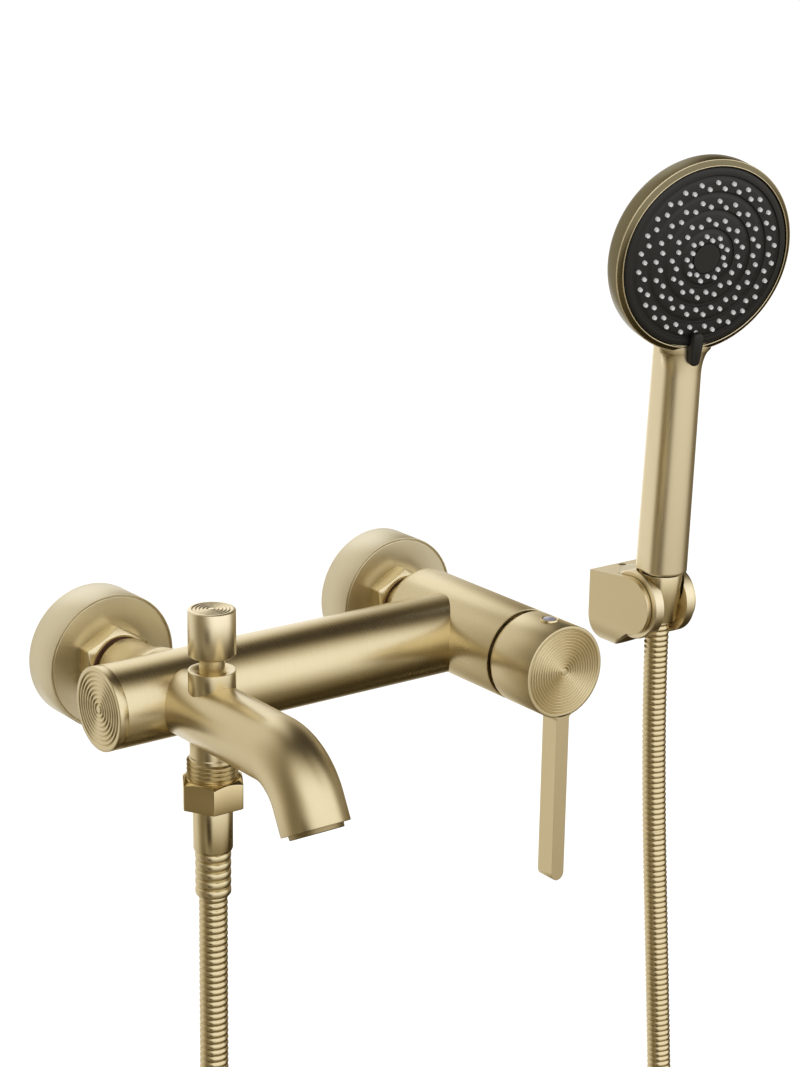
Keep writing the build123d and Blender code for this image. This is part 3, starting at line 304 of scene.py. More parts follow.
connect(
    brushing,
    (source.outputs["Stretched"], scratch.inputs["Vector"]),
    (source.outputs["Plain"], cloud.inputs["Vector"]),
    (scratch.outputs["Fac"], blend_noise.inputs["A"]),
    (cloud.outputs["Fac"], blend_noise.inputs["B"]),
    (blend_noise.outputs["Result"], share.inputs[0]),
    (source.outputs["Scratches"], share.inputs[1]),
    (share.outputs[0], tint.inputs["Factor"]),
    (source.outputs["Light Colour"], tint.inputs["A"]),
    (source.outputs["Deep Colour"], tint.inputs["B"]),
    (blend_noise.outputs["Result"], polish.inputs["Factor"]),
    (source.outputs["Smooth Roughness"], polish.inputs["A"]),
    (source.outputs["Rough Roughness"], polish.inputs["B"]),
    (tint.outputs["Result"], result.inputs["Colour"]),
    (polish.outputs["Result"], result.inputs["Roughness"]),
    (scratch.outputs["Fac"], result.inputs["Height"]),
)
print("brushing group has", len(brushing.nodes), "nodes")


# %% Metal materials
def grained_material(name, group, light, deep, bump):
    """A material whose own Principled shader takes colour, roughness and relief from a group."""
    material = bpy.data.materials.new(name)
    material.use_nodes = True
    tree = material.node_tree
    shader = tree.nodes["Principled BSDF"]
    finish = tree.nodes.new("ShaderNodeGroup")
    finish.node_tree = group
    set_inputs(finish, {"Light Colour": (*light, 1), "Deep Colour": (*deep, 1)})
    relief = tree.nodes.new("ShaderNodeBump")
    set_inputs(relief, {"Strength": bump, "Distance": 0.0002})
    connect(
        tree,
        (finish.outputs["Height"], relief.inputs["Height"]),
        (finish.outputs["Colour"], shader.inputs["Base Color"]),
        (finish.outputs["Roughness"], shader.inputs["Roughness"]),
        (relief.outputs["Normal"], shader.inputs["Normal"]),
    )
    return material, tree, shader, finish, tree.nodes.new("ShaderNodeTexCoord").outputs["Object"]


def metal(name, light, deep, grain, smooth, rough, scratches=0.35, bump=0.06):
    """Plated metal; grain is how many scratches lie in a metre along X, Y and Z."""
    material, tree, shader, finish, place = grained_material(name, brushing, light, deep, bump)
    set_inputs(shader, {"Metallic": 1.0})
    set_inputs(finish, {"Scratches": scratches, "Smooth Roughness": smooth, "Rough Roughness": rough})
    stretch = tree.nodes.new("ShaderNodeMapping")
    set_inputs(stretch, {"Scale": grain})
    connect(
        tree,
        (place, stretch.inputs["Vector"]),
        (stretch.outputs["Vector"], finish.inputs["Stretched"]),
        (place, finish.inputs["Plain"]),
    )
    return material


GOLD = (0.80, 0.70, 0.465)
GOLD_DEEP = (0.66, 0.54, 0.32)
PALE = (0.84, 0.77, 0.58)
PALE_DEEP = (0.72, 0.63, 0.43)
gold_x = metal("brushed_gold_round_x", GOLD, GOLD_DEEP, (2400, 90, 90), 0.23, 0.34)
gold_y = metal("brushed_gold_round_y", GOLD, GOLD_DEEP, (90, 2400, 90), 0.25, 0.36)
gold_z = metal("brushed_gold_round_z", GOLD, GOLD_DEEP, (90, 90, 2400), 0.23, 0.34)
gold_fine = metal("satin_gold_fine", GOLD, GOLD_DEEP, (900, 900, 900), 0.24, 0.34, 0.25, 0.03)
pale_gold = metal("pale_gold_rosette", PALE, PALE_DEEP, (140, 1600, 140), 0.34, 0.46)
polished_gold = metal(
    "polished_gold_nut", (0.82, 0.70, 0.44), (0.70, 0.56, 0.30), (500, 500, 500), 0.12, 0.20, 0.25, 0.02
)
hose_gold = metal(
    "polished_gold_hose", (0.80, 0.69, 0.45), (0.62, 0.49, 0.27), (700, 700, 700), 0.20, 0.32, 0.4, 0.03
)
FINE_GRAIN = (300, 300, 1500)
satin = metal("satin_gold_smooth", GOLD, GOLD_DEEP, FINE_GRAIN, 0.19, 0.27, 0.2, 0.015)
# These three tones paint light and shade into the one gold: a lit copy for the knob, the fork, the handle and the
# lip's beads, and shaded copies for the head and the spout's mouth.
# They are fitted to how light or dark each piece looks under one light. The real plating is likely the same gold
# everywhere, and above all the head is darker than it.
painted_lit_gold = metal(
    "light_gold_smooth", (0.93, 0.83, 0.60), (0.80, 0.68, 0.45), FINE_GRAIN, 0.28, 0.38, 0.2, 0.015
)
# painted shade: a much darker copy of the gold for the head
painted_shade_head_gold = metal(
    "shaded_gold_head", (0.22, 0.19, 0.112), (0.16, 0.132, 0.072), FINE_GRAIN, 0.22, 0.32, 0.3, 0.03
)
# painted shade: a darker copy of the gold, also rougher, for the aerator ring in the spout's mouth
painted_shade_mouth_gold = metal(
    "painted_shade_dull_gold_mouth", (0.42, 0.34, 0.19), (0.30, 0.23, 0.12), (900, 900, 900), 0.35, 0.5, 0.4, 0.05
)
raw_brass = metal("bare_brass", (0.75, 0.58, 0.30), (0.58, 0.42, 0.20), (1200, 200, 1200), 0.28, 0.45, 0.5, 0.1)
steel = metal("plain_steel", (0.62, 0.61, 0.59), (0.45, 0.44, 0.43), (800, 800, 800), 0.25, 0.4, 0.5, 0.05)
print("metals:", 13)

# %% [markdown]
# Plastic and rubber are dull where they were moulded against a sparked tool. A fine noise
# breaks up their colour and gives the surface its grain; it is shared by the black face,
# the seals and the cartridge.

# %% The shared moulding group and the soft finishes
moulding, source, result = new_group(
    "moulded_grain",
    (
        ("Place", "NodeSocketVector", None),
        ("Light Colour", "NodeSocketColor", (0.5, 0.5, 0.5, 1)),
        ("Deep Colour", "NodeSocketColor", (0.4, 0.4, 0.4, 1)),
        ("Grain Scale", "NodeSocketFloat", 1500.0),
        ("Least Roughness", "NodeSocketFloat", 0.35),
        ("Most Roughness", "NodeSocketFloat", 0.5),
    ),
    (("Colour", "NodeSocketColor"), ("Roughness", "NodeSocketFloat"), ("Height", "NodeSocketFloat")),
)
speckle = moulding.nodes.new("ShaderNodeTexNoise")
set_inputs(speckle, {"Detail": 3.0})
shade = moulding.nodes.new("ShaderNodeMix")
shade.data_type = "RGBA"
dull = moulding.nodes.new("ShaderNodeMix")
connect(
    moulding,
    (source.outputs["Place"], speckle.inputs["Vector"]),
    (source.outputs["Grain Scale"], speckle.inputs["Scale"]),
    (speckle.outputs["Fac"], shade.inputs["Factor"]),
    (source.outputs["Light Colour"], shade.inputs["A"]),
    (source.outputs["Deep Colour"], shade.inputs["B"]),
    (speckle.outputs["Fac"], dull.inputs["Factor"]),
    (source.outputs["Least Roughness"], dull.inputs["A"]),
    (source.outputs["Most Roughness"], dull.inputs["B"]),
    (shade.outputs["Result"], result.inputs["Colour"]),
    (dull.outputs["Result"], result.inputs["Roughness"]),
    (speckle.outputs["Fac"], result.inputs["Height"]),
)


def moulded(name, light, deep, scale, least, most, bump=0.08, coat=0.0):
    """Plastic, rubber or fibre with a moulded grain."""
    material, tree, shader, finish, place = grained_material(name, moulding, light, deep, bump)
    set_inputs(shader, {"Coat Weight": coat})
    set_inputs(finish, {"Grain Scale": scale, "Least Roughness": least, "Most Roughness": most})
    tree.links.new(place, finish.inputs["Place"])
    return material


black_face = moulded("black_spray_face", (0.012, 0.012, 0.011), (0.007, 0.007, 0.006), 2500, 0.38, 0.48)
# painted shade: near black, for the thread that shows in the gap between the cone nut and the handle
painted_gap_shade = moulded("painted_shade_thread", (0.020, 0.018, 0.015), (0.012, 0.011, 0.010), 900, 0.5, 0.6)
nozzle_rubber = moulded("pale_nozzle_rubber", (0.80, 0.80, 0.79), (0.66, 0.66, 0.65), 1800, 0.45, 0.6)
seal_rubber = moulded("seal_rubber", (0.05, 0.05, 0.05), (0.03, 0.03, 0.03), 1500, 0.55, 0.7)
washer_fibre = moulded("washer_fibre", (0.16, 0.07, 0.05), (0.09, 0.04, 0.03), 900, 0.6, 0.8)
cartridge_plastic = moulded("cartridge_plastic", (0.72, 0.70, 0.64), (0.60, 0.58, 0.53), 1200, 0.35, 0.5)
clear_dome = moulded("clear_indicator", (0.36, 0.34, 0.40), (0.20, 0.18, 0.24), 500, 0.04, 0.10, 0.01, 0.9)
print("soft finishes:", 7)

# %% [markdown]
# ## Helpers for turned metal
#
# A lathe part is an outline of radius and height spun round its axis. After the spin the
# seam is merged, edges that meet at an angle get a hair-wide bevel so that they catch the
# light, and the whole piece is carried to its place and scaled from millimetres.

# %% Spin, bevel and add
def spun(bm, outline, place=Matrix(), steps=96, edge=0.25, least_angle=24):
    """Adds a turned shell to the bmesh; the outline is (radius, height) points round local Z."""
    part = bmesh.new()
    verts = [part.verts.new((radius, 0, height)) for radius, height in outline]
    edges = [part.edges.new(pair) for pair in zip(verts, verts[1:])]
    if outline[0][0] > 0 or outline[-1][0] > 0:
        edges.append(part.edges.new((verts[-1], verts[0])))
    bmesh.ops.spin(
        part, geom=verts + edges, cent=(0, 0, 0), axis=(0, 0, 1), angle=2 * math.pi, steps=steps, use_merge=True
    )
    bmesh.ops.remove_doubles(part, verts=part.verts, dist=0.001)
    bmesh.ops.recalc_face_normals(part, faces=part.faces)
    soften(part, edge, least_angle)
    part.transform(place)
    join(bm, part)


def soften(bm, width, least_angle=24):
    """Bevels every edge whose faces meet at more than the given angle."""
    if not width:
        return
    bm.normal_update()
    sharp = [e for e in bm.edges if len(e.link_faces) == 2 and e.calc_face_angle(0) > math.radians(least_angle)]
    bmesh.ops.bevel(
        bm, geom=sharp, offset=width, offset_type="OFFSET", segments=2, profile=0.5, affect="EDGES",
        material=-1, clamp_overlap=True,
    )


def join(bm, part):
    """Moves one bmesh into another."""
    mesh = bpy.data.meshes.new("part")
    part.to_mesh(mesh)
    part.free()
    bm.from_mesh(mesh)
    bpy.data.meshes.remove(mesh)


def add_piece(name, bm, body, material, replaced=(), smooth_angle=32):
    """Turns a bmesh in millimetres into a finished piece that rides on its body."""
    bm.transform(Matrix.Scale(0.001, 4))
    mesh = bpy.data.meshes.new(name)
    bm.to_mesh(mesh)
    bm.free()
    mesh.shade_smooth()
    mesh.set_sharp_from_angle(angle=math.radians(smooth_angle))
    mesh.materials.append(material)
    piece = bpy.data.objects.new(name, mesh)
    scene.collection.objects.link(piece)
    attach(piece, body)
    if replaced:
        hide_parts(*replaced)
    print(name, "has", len(mesh.polygons), "faces and rides on", body)
    return piece


def from_cad(name, node, body, material, smooth_angle=32):
    """A merged, smooth-shaded copy of a CAD node, for shapes that were cut and joined there."""
    bm = bmesh.new()
    bm.from_mesh(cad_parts[node].data)
    bmesh.ops.remove_doubles(bm, verts=bm.verts, dist=0.000002)
    bm.transform(Matrix.Scale(1000, 4))
    return add_piece(name, bm, body, material, (node,), smooth_angle=smooth_angle)


def stacked(bm, outlines):
    """Skins a row of outlines that have the same number of points."""
    ring = bmesh.ops.create_circle(bm, cap_ends=False, segments=len(outlines[0]), radius=1.0)["verts"]
    order = {vert: index for index, vert in enumerate(ring)}
    for vert, index in order.items():
        vert.co = outlines[0][index]
    for outline in outlines[1:]:
        loop = {e for v in order for e in v.link_edges if e.other_vert(v) in order}
        grown = {}
        for vert in only(bmesh.types.BMVert, bmesh.ops.extrude_edge_only(bm, edges=list(loop))["geom"]):
            below = next(e.other_vert(vert) for e in vert.link_edges if e.other_vert(vert) in order)
            grown[vert] = order[below]
        order = grown
        for vert, index in order.items():
            vert.co = outline[index]


def only(kind, elements):
    """The elements that are of one kind: vertices, edges or faces."""
    return [element for element in elements if isinstance(element, kind)]


def arc(centre, radius, first, last, step):
    """Points on a circle from the first angle up to the last, in whole degrees."""
    angles = [math.radians(degrees) for degrees in range(first, last + 1, step)]
    return [(centre[0] + radius * math.cos(a), centre[1] + radius * math.sin(a)) for a in angles]


def facing_room(x, z=AXIS_Z):
    """Local +Z points out of the wall."""
    return Matrix.Translation((x, 0, z)) @ Matrix.Rotation(math.radians(90), 4, "X")


def wavy_top(outer, inner, top, depth, count, steps=8):
    """Outline of a face turned with round grooves, from the outer radius in to the centre."""
    points = []
    pitch = (outer - inner) / count
    for index in range(count * steps + 1):
        radius = outer - index * pitch / steps
        wave = (0.5 - 0.5 * math.cos(2 * math.pi * index / steps)) ** 2
        points.append((radius, top - depth * wave))
    return points + [(0, top)]


print("helpers ready")

# %% [markdown]
# ## Rosettes
#
# Each rosette is a deep cup pressed against the wall. Its front is a shallow dish that
# sinks towards the nut, and a narrow groove parts the dish from the rim, which is the dark
# circle in the photograph.

# %% Two rosettes
PIPE_X = 75.0
PIPES = (("left", -PIPE_X), ("right", PIPE_X))
for side, x in PIPES:
    rosette = bmesh.new()
    spun(rosette, [
        (28.1, 0), (29.6, 0), (29.6, 18.9), (29.0, 18.9), (28.9, 17.9), (28.5, 17.9), (28.4, 18.5), (28.1, 18.62),
        (21.0, 17.9), (13.25, 17.0), (13.25, 14.0), (28.0, 16.0),
    ], facing_room(x), 144, 0.18)
    add_piece(f"rosette_{side}_cup", rosette, "mixer", pale_gold, (f"rosette_{side}",))

# %% [markdown]
# ## The casting
#
# One brass casting carries the cross tube, the lever's housing and both inlets. Where the
# tubes cross, the real junctions are sharp, so whole tubes may simply run into each other
# and no boolean is needed. The left inlet is the exception: it swells softly into the tube.

# %% Cross tube, housing and inlets
BODY_Y = -65.6
casting = bmesh.new()
along_x = Matrix.Translation((0, BODY_Y, AXIS_Z)) @ Matrix.Rotation(math.radians(90), 4, "Y")
spun(casting, [(0, -105.2), (17.5, -105.2), (17.5, 75), (0, 75)], along_x, 128, 0.05)
rear_curve = [
    (15.2 + 5 * math.sin(t), 39 - 5 * math.cos(t)) for t in (math.radians(a) for a in range(0, 91, 10))
]
spun(casting, [(0, 34)] + rear_curve + [(20.2, 109), (19.4, 109), (18.8, 108.2), (18.8, 102), (0, 102)],
     facing_room(PIPE_X), 128, 0.25)
spun(casting, [
    (0, 20.5), (13.2, 20.5), (13.2, 22.5), (11, 22.5), (11, 28.0), (12.9, 28.6), (13.3, 30.0), (13.3, 38),
    (13.7, 43), (14.6, 48), (16.0, 53), (17.0, 58), (0, 62),
], facing_room(-PIPE_X), 96, 0.15, 30)
spun(casting, [(0, 20.5), (13.2, 20.5), (13.2, 22.5), (11, 22.5), (11, 36), (0, 36)], facing_room(PIPE_X), 96, 0.15)
add_piece("mixer_casting", casting, "mixer", gold_x, ("mixer_body", "housing_shroud"))

# %% [markdown]
# The left end is closed by a screwed cap whose face is turned with rings. The rings are
# real waves in the outline, because a bump would not show them at the rim.

# %% End cap
cap = bmesh.new()
spun(cap, [(0, -8), (13, -8), (13, 0), (17.5, 0), (17.5, 3.8), (17.3, 4.0)] + wavy_top(16.0, 1.2, 4.0, 0.6, 8),
     Matrix.Translation((-105.2, BODY_Y, AXIS_Z)) @ Matrix.Rotation(math.radians(-90), 4, "Y"), 128, 0.05, 60)
add_piece("end_cap_grooved", cap, "mixer", gold_fine, ("end_cap",), smooth_angle=60)

# %% [markdown]
# ## Union nuts and the outlet's nut
#
# A hexagon nut is turned to a cone at one end, so every flat ends there in a curve that is
# highest in its middle. The outline of a hexagon with small round corners is stacked up,
# and each of its points ends where the cone cuts it: the further out, the lower.

# %% Hexagon nuts
def hexagon_outline(flats, corner):
    """Points round a hexagon whose first corner lies on +X, with rounded corners."""
    middle = (flats / 2 - corner) / math.cos(math.radians(30))
    points = []
    for side in range(6):
        centre = Vector((middle, 0, 0))
        centre.rotate(Matrix.Rotation(math.radians(60 * side), 3, "Z"))
        for step in range(7):
            turn = math.radians(60 * side - 30 + 10 * step)
            points.append(centre + corner * Vector((math.cos(turn), math.sin(turn), 0)))
    full = []
    for point, after in zip(points, points[1:] + points[:1]):
        full.append(point)
        if (after - point).length > corner:
            full += [point.lerp(after, share) for share in (0.04, 0.2, 0.35, 0.5, 0.65, 0.8, 0.96)]
    return full


def hexagon_nut(bm, flats, height, end_radius, bore, place, corner=0.8, slope=0.6):
    """A hexagon nut round local Z from 0 up to its coned end."""
    outline = hexagon_outline(flats, corner)
    lift = Vector((0, 0, 1))
    rings = [
        [p * (bore / p.length) for p in outline],
        [p * (1 - 0.5 / p.length) for p in outline],
        [p + 0.35 * lift for p in outline],
        [p + (height - slope * (p.length - end_radius)) * lift for p in outline],
        [p * (end_radius / p.length) + height * lift for p in outline],
        [p * (bore / p.length) + height * lift for p in outline],
    ]
    part = bmesh.new()
    stacked(part, rings + rings[:1])
    bmesh.ops.remove_doubles(part, verts=part.verts, dist=0.0005)
    bmesh.ops.recalc_face_normals(part, faces=part.faces)
    soften(part, 0.22, 20)
    part.transform(place)
    join(bm, part)


NUT_FROM_WALL = 16.0
for side, x in PIPES:
    nut = bmesh.new()
    place = facing_room(x) @ Matrix.Translation((0, 0, NUT_FROM_WALL)) @ Matrix.Rotation(math.radians(30), 4, "Z")
    hexagon_nut(nut, 28.8, 8.9, 13.4, 12.6, place, 1.2)
    add_piece(
        f"union_nut_{side}_hexagon", nut, "mixer", satin, (f"union_nut_{side}",), smooth_angle=25
    )
DIVERTER_Y = -96.7
OUTLET_NUT_FOOT = -38.1
nut = bmesh.new()
hexagon_nut(nut, 24.0, 12.2, 11.3, 9.4, Matrix.Translation((-PIPE_X, DIVERTER_Y, AXIS_Z + OUTLET_NUT_FOOT)))
add_piece("outlet_nut_hexagon", nut, "mixer", polished_gold, ("hose_hex_nut",), smooth_angle=25)

# %% [markdown]
# ## Spout
#
# The spout is a bent tube. A circle is pushed forward, spun round the centre of the bend
# and pushed on to the mouth, and the same loop is then turned inwards to make the wall.

# %% Bent spout
SPOUT_R = 13.85
BEND_R = 26.0
BEND = math.radians(62.2)
STRAIGHT_RUN = 83.2
RUN_AFTER_BEND = 11.0
MOUTH_R = 12.05
MOUTH_DEPTH = 8.0
bend_centre = Vector((-PIPE_X, -141.2, AXIS_Z - BEND_R))
spout_out = Vector((0, -math.cos(BEND), -math.sin(BEND)))
spout_tip = bend_centre + Vector((0, -BEND_R * math.sin(BEND), BEND_R * math.cos(BEND)))
spout_tip += RUN_AFTER_BEND * spout_out
spout = bmesh.new()
ring = bmesh.ops.create_circle(
    spout, cap_ends=True, segments=128, radius=SPOUT_R,
    matrix=Matrix.Translation((-PIPE_X, -58, AXIS_Z)) @ Matrix.Rotation(math.radians(90), 4, "X"),
)["verts"]
loop = list({e for v in ring for e in v.link_edges})


def push(bm, edges, step):
    """Extrudes an edge loop by a vector and returns the new loop."""
    made = bmesh.ops.extrude_edge_only(bm, edges=edges)["geom"]
    moved = only(bmesh.types.BMVert, made)
    bmesh.ops.translate(bm, verts=moved, vec=step)
    return [e for e in only(bmesh.types.BMEdge, made) if e.verts[0] in moved and e.verts[1] in moved]


def shrink(bm, edges, centre, factor):
    """Extrudes an edge loop and scales the new loop about a centre."""
    made = push(bm, edges, (0, 0, 0))
    verts = list({v for e in made for v in e.verts})
    bmesh.ops.scale(bm, vec=(factor, factor, factor), space=Matrix.Translation(-centre), verts=verts)
    return made


loop = push(spout, loop, (0, -STRAIGHT_RUN, 0))
verts = list({v for e in loop for v in e.verts})
last = bmesh.ops.spin(
    spout, geom=verts + loop, cent=bend_centre, axis=(1, 0, 0), angle=BEND, steps=28, use_merge=False
)["geom_last"]
loop = push(spout, only(bmesh.types.BMEdge, last), RUN_AFTER_BEND * spout_out)
loop = shrink(spout, loop, spout_tip, MOUTH_R / SPOUT_R)
loop = push(spout, loop, -MOUTH_DEPTH * spout_out)
bmesh.ops.contextual_create(spout, geom=loop)
bmesh.ops.remove_doubles(spout, verts=spout.verts, dist=0.001)
bmesh.ops.recalc_face_normals(spout, faces=spout.faces)
soften(spout, 0.35, 40)
add_piece("spout_tube", spout, "mixer", gold_y, ("spout",))

# %% [markdown]
# The jet former sits in the mouth: a thin ring that stands 1.8 mm proud, round a plastic
# insert with holes, which the CAD model already has.

# %% Aerator ring
mouth = Matrix.Translation(spout_tip) @ Matrix.Rotation(math.radians(90) + BEND, 4, "X")
aerator = bmesh.new()
spun(aerator, [
    (10.25, -7.9), (11.98, -7.9), (11.98, -0.35), (11.0, -0.3), (10.9, 1.5), (10.7, 1.8), (10.25, 1.8),
], mouth, 96, 0.12)
add_piece("aerator_ring", aerator, "mixer", painted_shade_mouth_gold, ("aerator_housing",))
from_cad("aerator_jets", "aerator_insert", "mixer", cartridge_plastic)

# %% [markdown]
# ## Diverter
#
# The collar is a short turned pillar on the spout's root. The knob lifts out of it with
# its neck, so the knob and the neck are one piece on the sliding body.

# %% Collar and knob
DIVERTER = Matrix.Translation((-PIPE_X, DIVERTER_Y, AXIS_Z))
collar = bmesh.new()
spun(collar, [(5.3, 9), (9.6, 9), (9.6, 19.4), (8.8, 19.4), (6.4, 18.6), (5.3, 17.6)], DIVERTER, 96, 0.2)
add_piece("diverter_collar_ring", collar, "mixer", gold_z, ("diverter_collar",))
knob = bmesh.new()
spun(knob, [(0, 11), (5.2, 11), (5.2, 25.3), (8.7, 25.3), (9.6, 26.2), (9.6, 44.2), (9.2, 44.7)]
     + wavy_top(8.3, 1.0, 44.8, 0.45, 5), DIVERTER, 128, 0.15, 50)
add_piece("diverter_knob_grooved", knob, "diverter", painted_lit_gold, ("diverter_knob",), smooth_angle=50)

# %% [markdown]
# ## Shower outlet
#
# Below the spout the hose screws onto a half-inch thread, and a few of its turns stay in
# sight. A thread is a tooth spun with a rise in every step; its ends disappear in the neck
# and in the nut.

# %% Outlet neck and its thread
THREAD_PITCH = 1.814
outlet = bmesh.new()
spun(outlet, [(5, -9), (9.2, -9), (9.2, -16.6), (9.45, -17.0), (9.45, -32), (5, -32)], DIVERTER, 96, 0.1)
tooth = bmesh.new()
TOOTH = ((9.3, -0.78), (10.35, -0.16), (10.48, 0), (10.35, 0.16), (9.3, 0.78))
corners = [tooth.verts.new((radius, 0, height)) for radius, height in TOOTH]
tooth_edges = [tooth.edges.new(pair) for pair in zip(corners, corners[1:] + corners[:1])]
TURNS = 7
STEPS_A_TURN = 64
bmesh.ops.spin(
    tooth, geom=corners + tooth_edges, cent=(0, 0, 0), axis=(0, 0, 1), angle=TURNS * 2 * math.pi,
    steps=TURNS * STEPS_A_TURN, dvec=(0, 0, -THREAD_PITCH / STEPS_A_TURN), use_merge=False,
)
bmesh.ops.holes_fill(tooth, edges=[e for e in tooth.edges if e.is_boundary], sides=8)
bmesh.ops.recalc_face_normals(tooth, faces=tooth.faces)
tooth.transform(DIVERTER @ Matrix.Translation((0, 0, -17.9)))
join(outlet, tooth)
add_piece("shower_outlet_thread", outlet, "mixer", gold_z, ("shower_outlet",))

# %% [markdown]
# ## The hose's lower end
#
# Under the nut come a smooth ferrule and a ribbed sleeve that keeps the hose from kinking.

# %% Ferrule and ribbed sleeve
ferrule = bmesh.new()
spun(ferrule, [
    (4.2, -57.7), (7.3, -57.7), (7.85, -57.3), (8.15, -56.4), (8.15, -38.1), (7.0, -38.1), (7.0, -36.1), (9.8, -36.1),
    (9.8, -34), (4.2, -34),
], DIVERTER, 96, 0.12)
add_piece("hose_ferrule_sleeve", ferrule, "mixer", satin, ("hose_ferrule",))
SLEEVE_TOP = -57.7
SLEEVE_PITCH = 3.9
SLEEVE_RIBS = 5
SLEEVE_RIB = ((7.0, 0.08), (7.33, 0.22), (7.4, 0.5), (7.33, 0.78), (7.0, 0.92))
sleeve = bmesh.new()
outline = [(6.05, SLEEVE_TOP)]
for rib in range(SLEEVE_RIBS):
    rib_top = SLEEVE_TOP - rib * SLEEVE_PITCH
    outline += [(6.5, rib_top)] + [(radius, rib_top - part * SLEEVE_PITCH) for radius, part in SLEEVE_RIB]
sleeve_foot = SLEEVE_TOP - SLEEVE_RIBS * SLEEVE_PITCH
outline += [(6.5, sleeve_foot), (6.05, sleeve_foot)]
spun(sleeve, outline, DIVERTER, 96, 0)
add_piece("hose_sleeve_ribs", sleeve, "mixer", gold_fine, ("hose_bend_sleeve",), smooth_angle=60)

# %% [markdown]
# ## The hose
#
# The hose is 1.25 m of ribbed metal tube that hangs in one loop between the outlet and the
# hand shower. Its line is a smooth spline along the CAD tube's route, moved by about a
# millimetre near the holder, where the photograph shows it. A straight ribbed tube is made
# first, ring by ring, and a Curve modifier then lays it along the spline, so the ribs stay
# square to it everywhere.

# %% The route
HANDSET_LEAN = math.radians(2.3)
HANDSET_TURN = math.radians(-10.5)
FORK = Matrix.Translation((225, -26.3, AXIS_Z - 24.7)) @ Matrix.Rotation(HANDSET_LEAN, 4, "X")
HANDSET = FORK @ Matrix.Translation((0, -4.7, 0)) @ Matrix.Rotation(HANDSET_TURN, 4, "Z")
hose_top = HANDSET @ Vector((0, 0, -7.8))
hose_seam = HANDSET @ Vector((0, 0, -61.1))
ROUTE = [
    (-75.0, -96.7, -57.7), (-75.0, -96.7, -155.0), (-75.0, -96.7, -225.0), (-79.0, -95.5, -305.0),
    (-80.0, -93.0, -385.0), (-76.5, -90.0, -457.0), (-54.7, -86.0, -508.0), (-11.7, -80.0, -549.0),
    (44.6, -74.0, -571.0), (105.4, -68.0, -571.0), (161.7, -63.0, -549.0), (204.7, -59.0, -508.0),
    (227.0, -56.0, -457.0), (229.4, -53.0, -385.0), (226.2, -50.2, -324.9), (226.2, -46.0, -268.0),
]
route = [Vector(p) + Vector((0, 0, AXIS_Z)) for p in ROUTE] + [hose_seam + Vector((1.2, 0, 0)), hose_top]
route_curve = bpy.data.curves.new("hose_route", "CURVE")
route_curve.dimensions = "3D"
route_curve.resolution_u = 24
route_curve.use_deform_bounds = False
spline = route_curve.splines.new("NURBS")
spline.points.add(len(route) - 1)
for point, place in zip(spline.points, route):
    point.co = (*(place / 1000), 1)
spline.order_u = 3
spline.use_endpoint_u = True
route_object = bpy.data.objects.new("hose_route", route_curve)
scene.collection.objects.link(route_object)
line = bpy.data.meshes.new_from_object(route_object)
path = [v.co.copy() for v in line.vertices]
hose_length = sum((b - a).length for a, b in zip(path, path[1:]))
print("hose line", round(hose_length, 4), "m through", len(route), "points")

# %% The ribbed tube along it
HOSE_PITCH = 0.00275
RIB = ((0.0, 5.25), (0.12, 5.75), (0.3, 5.97), (0.6, 5.97), (0.82, 5.75))
# how much slimmer the hose is where the sleeve of ribs goes over it
SLIM = 0.45
UPPER_STRETCH = 0.11


def ribbed_tube(count, pitch, start=0.0, slim=0, segments=20):
    """A straight ribbed tube along +X in metres, whose last ribs may be slimmer."""
    tube = bmesh.new()
    turn = Matrix.Translation((start, 0, 0)) @ Matrix.Rotation(math.radians(90), 4, "Y")
    ring = bmesh.ops.create_circle(tube, cap_ends=False, segments=segments, radius=1.0, matrix=turn)["verts"]
    edges = list({e for v in ring for e in v.link_edges})
    steps = [start + (i + part) * pitch for i in range(count) for part, _ in RIB] + [start + count * pitch]
    less = [SLIM if i >= count - slim else 0.0 for i in range(count)]
    radii = [(radius - thin) / 1000 for thin in less for _, radius in RIB] + [(RIB[0][1] - less[-1]) / 1000]
    for before, after in zip(steps, steps[1:]):
        edges = push(tube, edges, (after - before, 0, 0))
    for vert in tube.verts:
        radius = radii[nearest(steps, vert.co.x)]
        vert.co.y *= radius
        vert.co.z *= radius
    return tube


def nearest(steps, x):
    """Index of the step nearest to x, by halving."""
    low, high = 0, len(steps) - 1
    while high - low > 1:
        middle = (low + high) // 2
        if steps[middle] <= x:
            low = middle
        else:
            high = middle
    return low if x - steps[low] < steps[high] - x else high


def lay_along(name, tube, curve):
    """The tube's mesh after a Curve modifier has laid it along the curve."""
    straight = bpy.data.meshes.new(name)
    tube.to_mesh(straight)
    tube.free()
    helper = bpy.data.objects.new(name + "_straight", straight)
    scene.collection.objects.link(helper)
    bend = helper.modifiers.new("along", "CURVE")
    bend.object = curve
    bend.deform_axis = "POS_X"
    bpy.context.view_layer.update()
    ready = bpy.data.meshes.new_from_object(helper.evaluated_get(bpy.context.evaluated_depsgraph_get()))
    ready.name = name
    bpy.data.objects.remove(helper)
    return ready


def hose_piece(name, count, pitch, start=0.0, slim=0):
    """One stretch of the hose as an object, in metres."""
    mesh = lay_along(name, ribbed_tube(count, pitch, start, slim), route_object)
    mesh.shade_smooth()
    mesh.materials.append(hose_gold)
    piece = bpy.data.objects.new(name, mesh)
    scene.collection.objects.link(piece)
    print(name, "has", len(mesh.polygons), "faces")
    return piece


ribs = round(hose_length / HOSE_PITCH)
rib_pitch = hose_length / ribs
upper_ribs = round(UPPER_STRETCH / rib_pitch)
hose = hose_piece("hose_ribbed", ribs, rib_pitch, slim=upper_ribs)
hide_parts("hose_main")
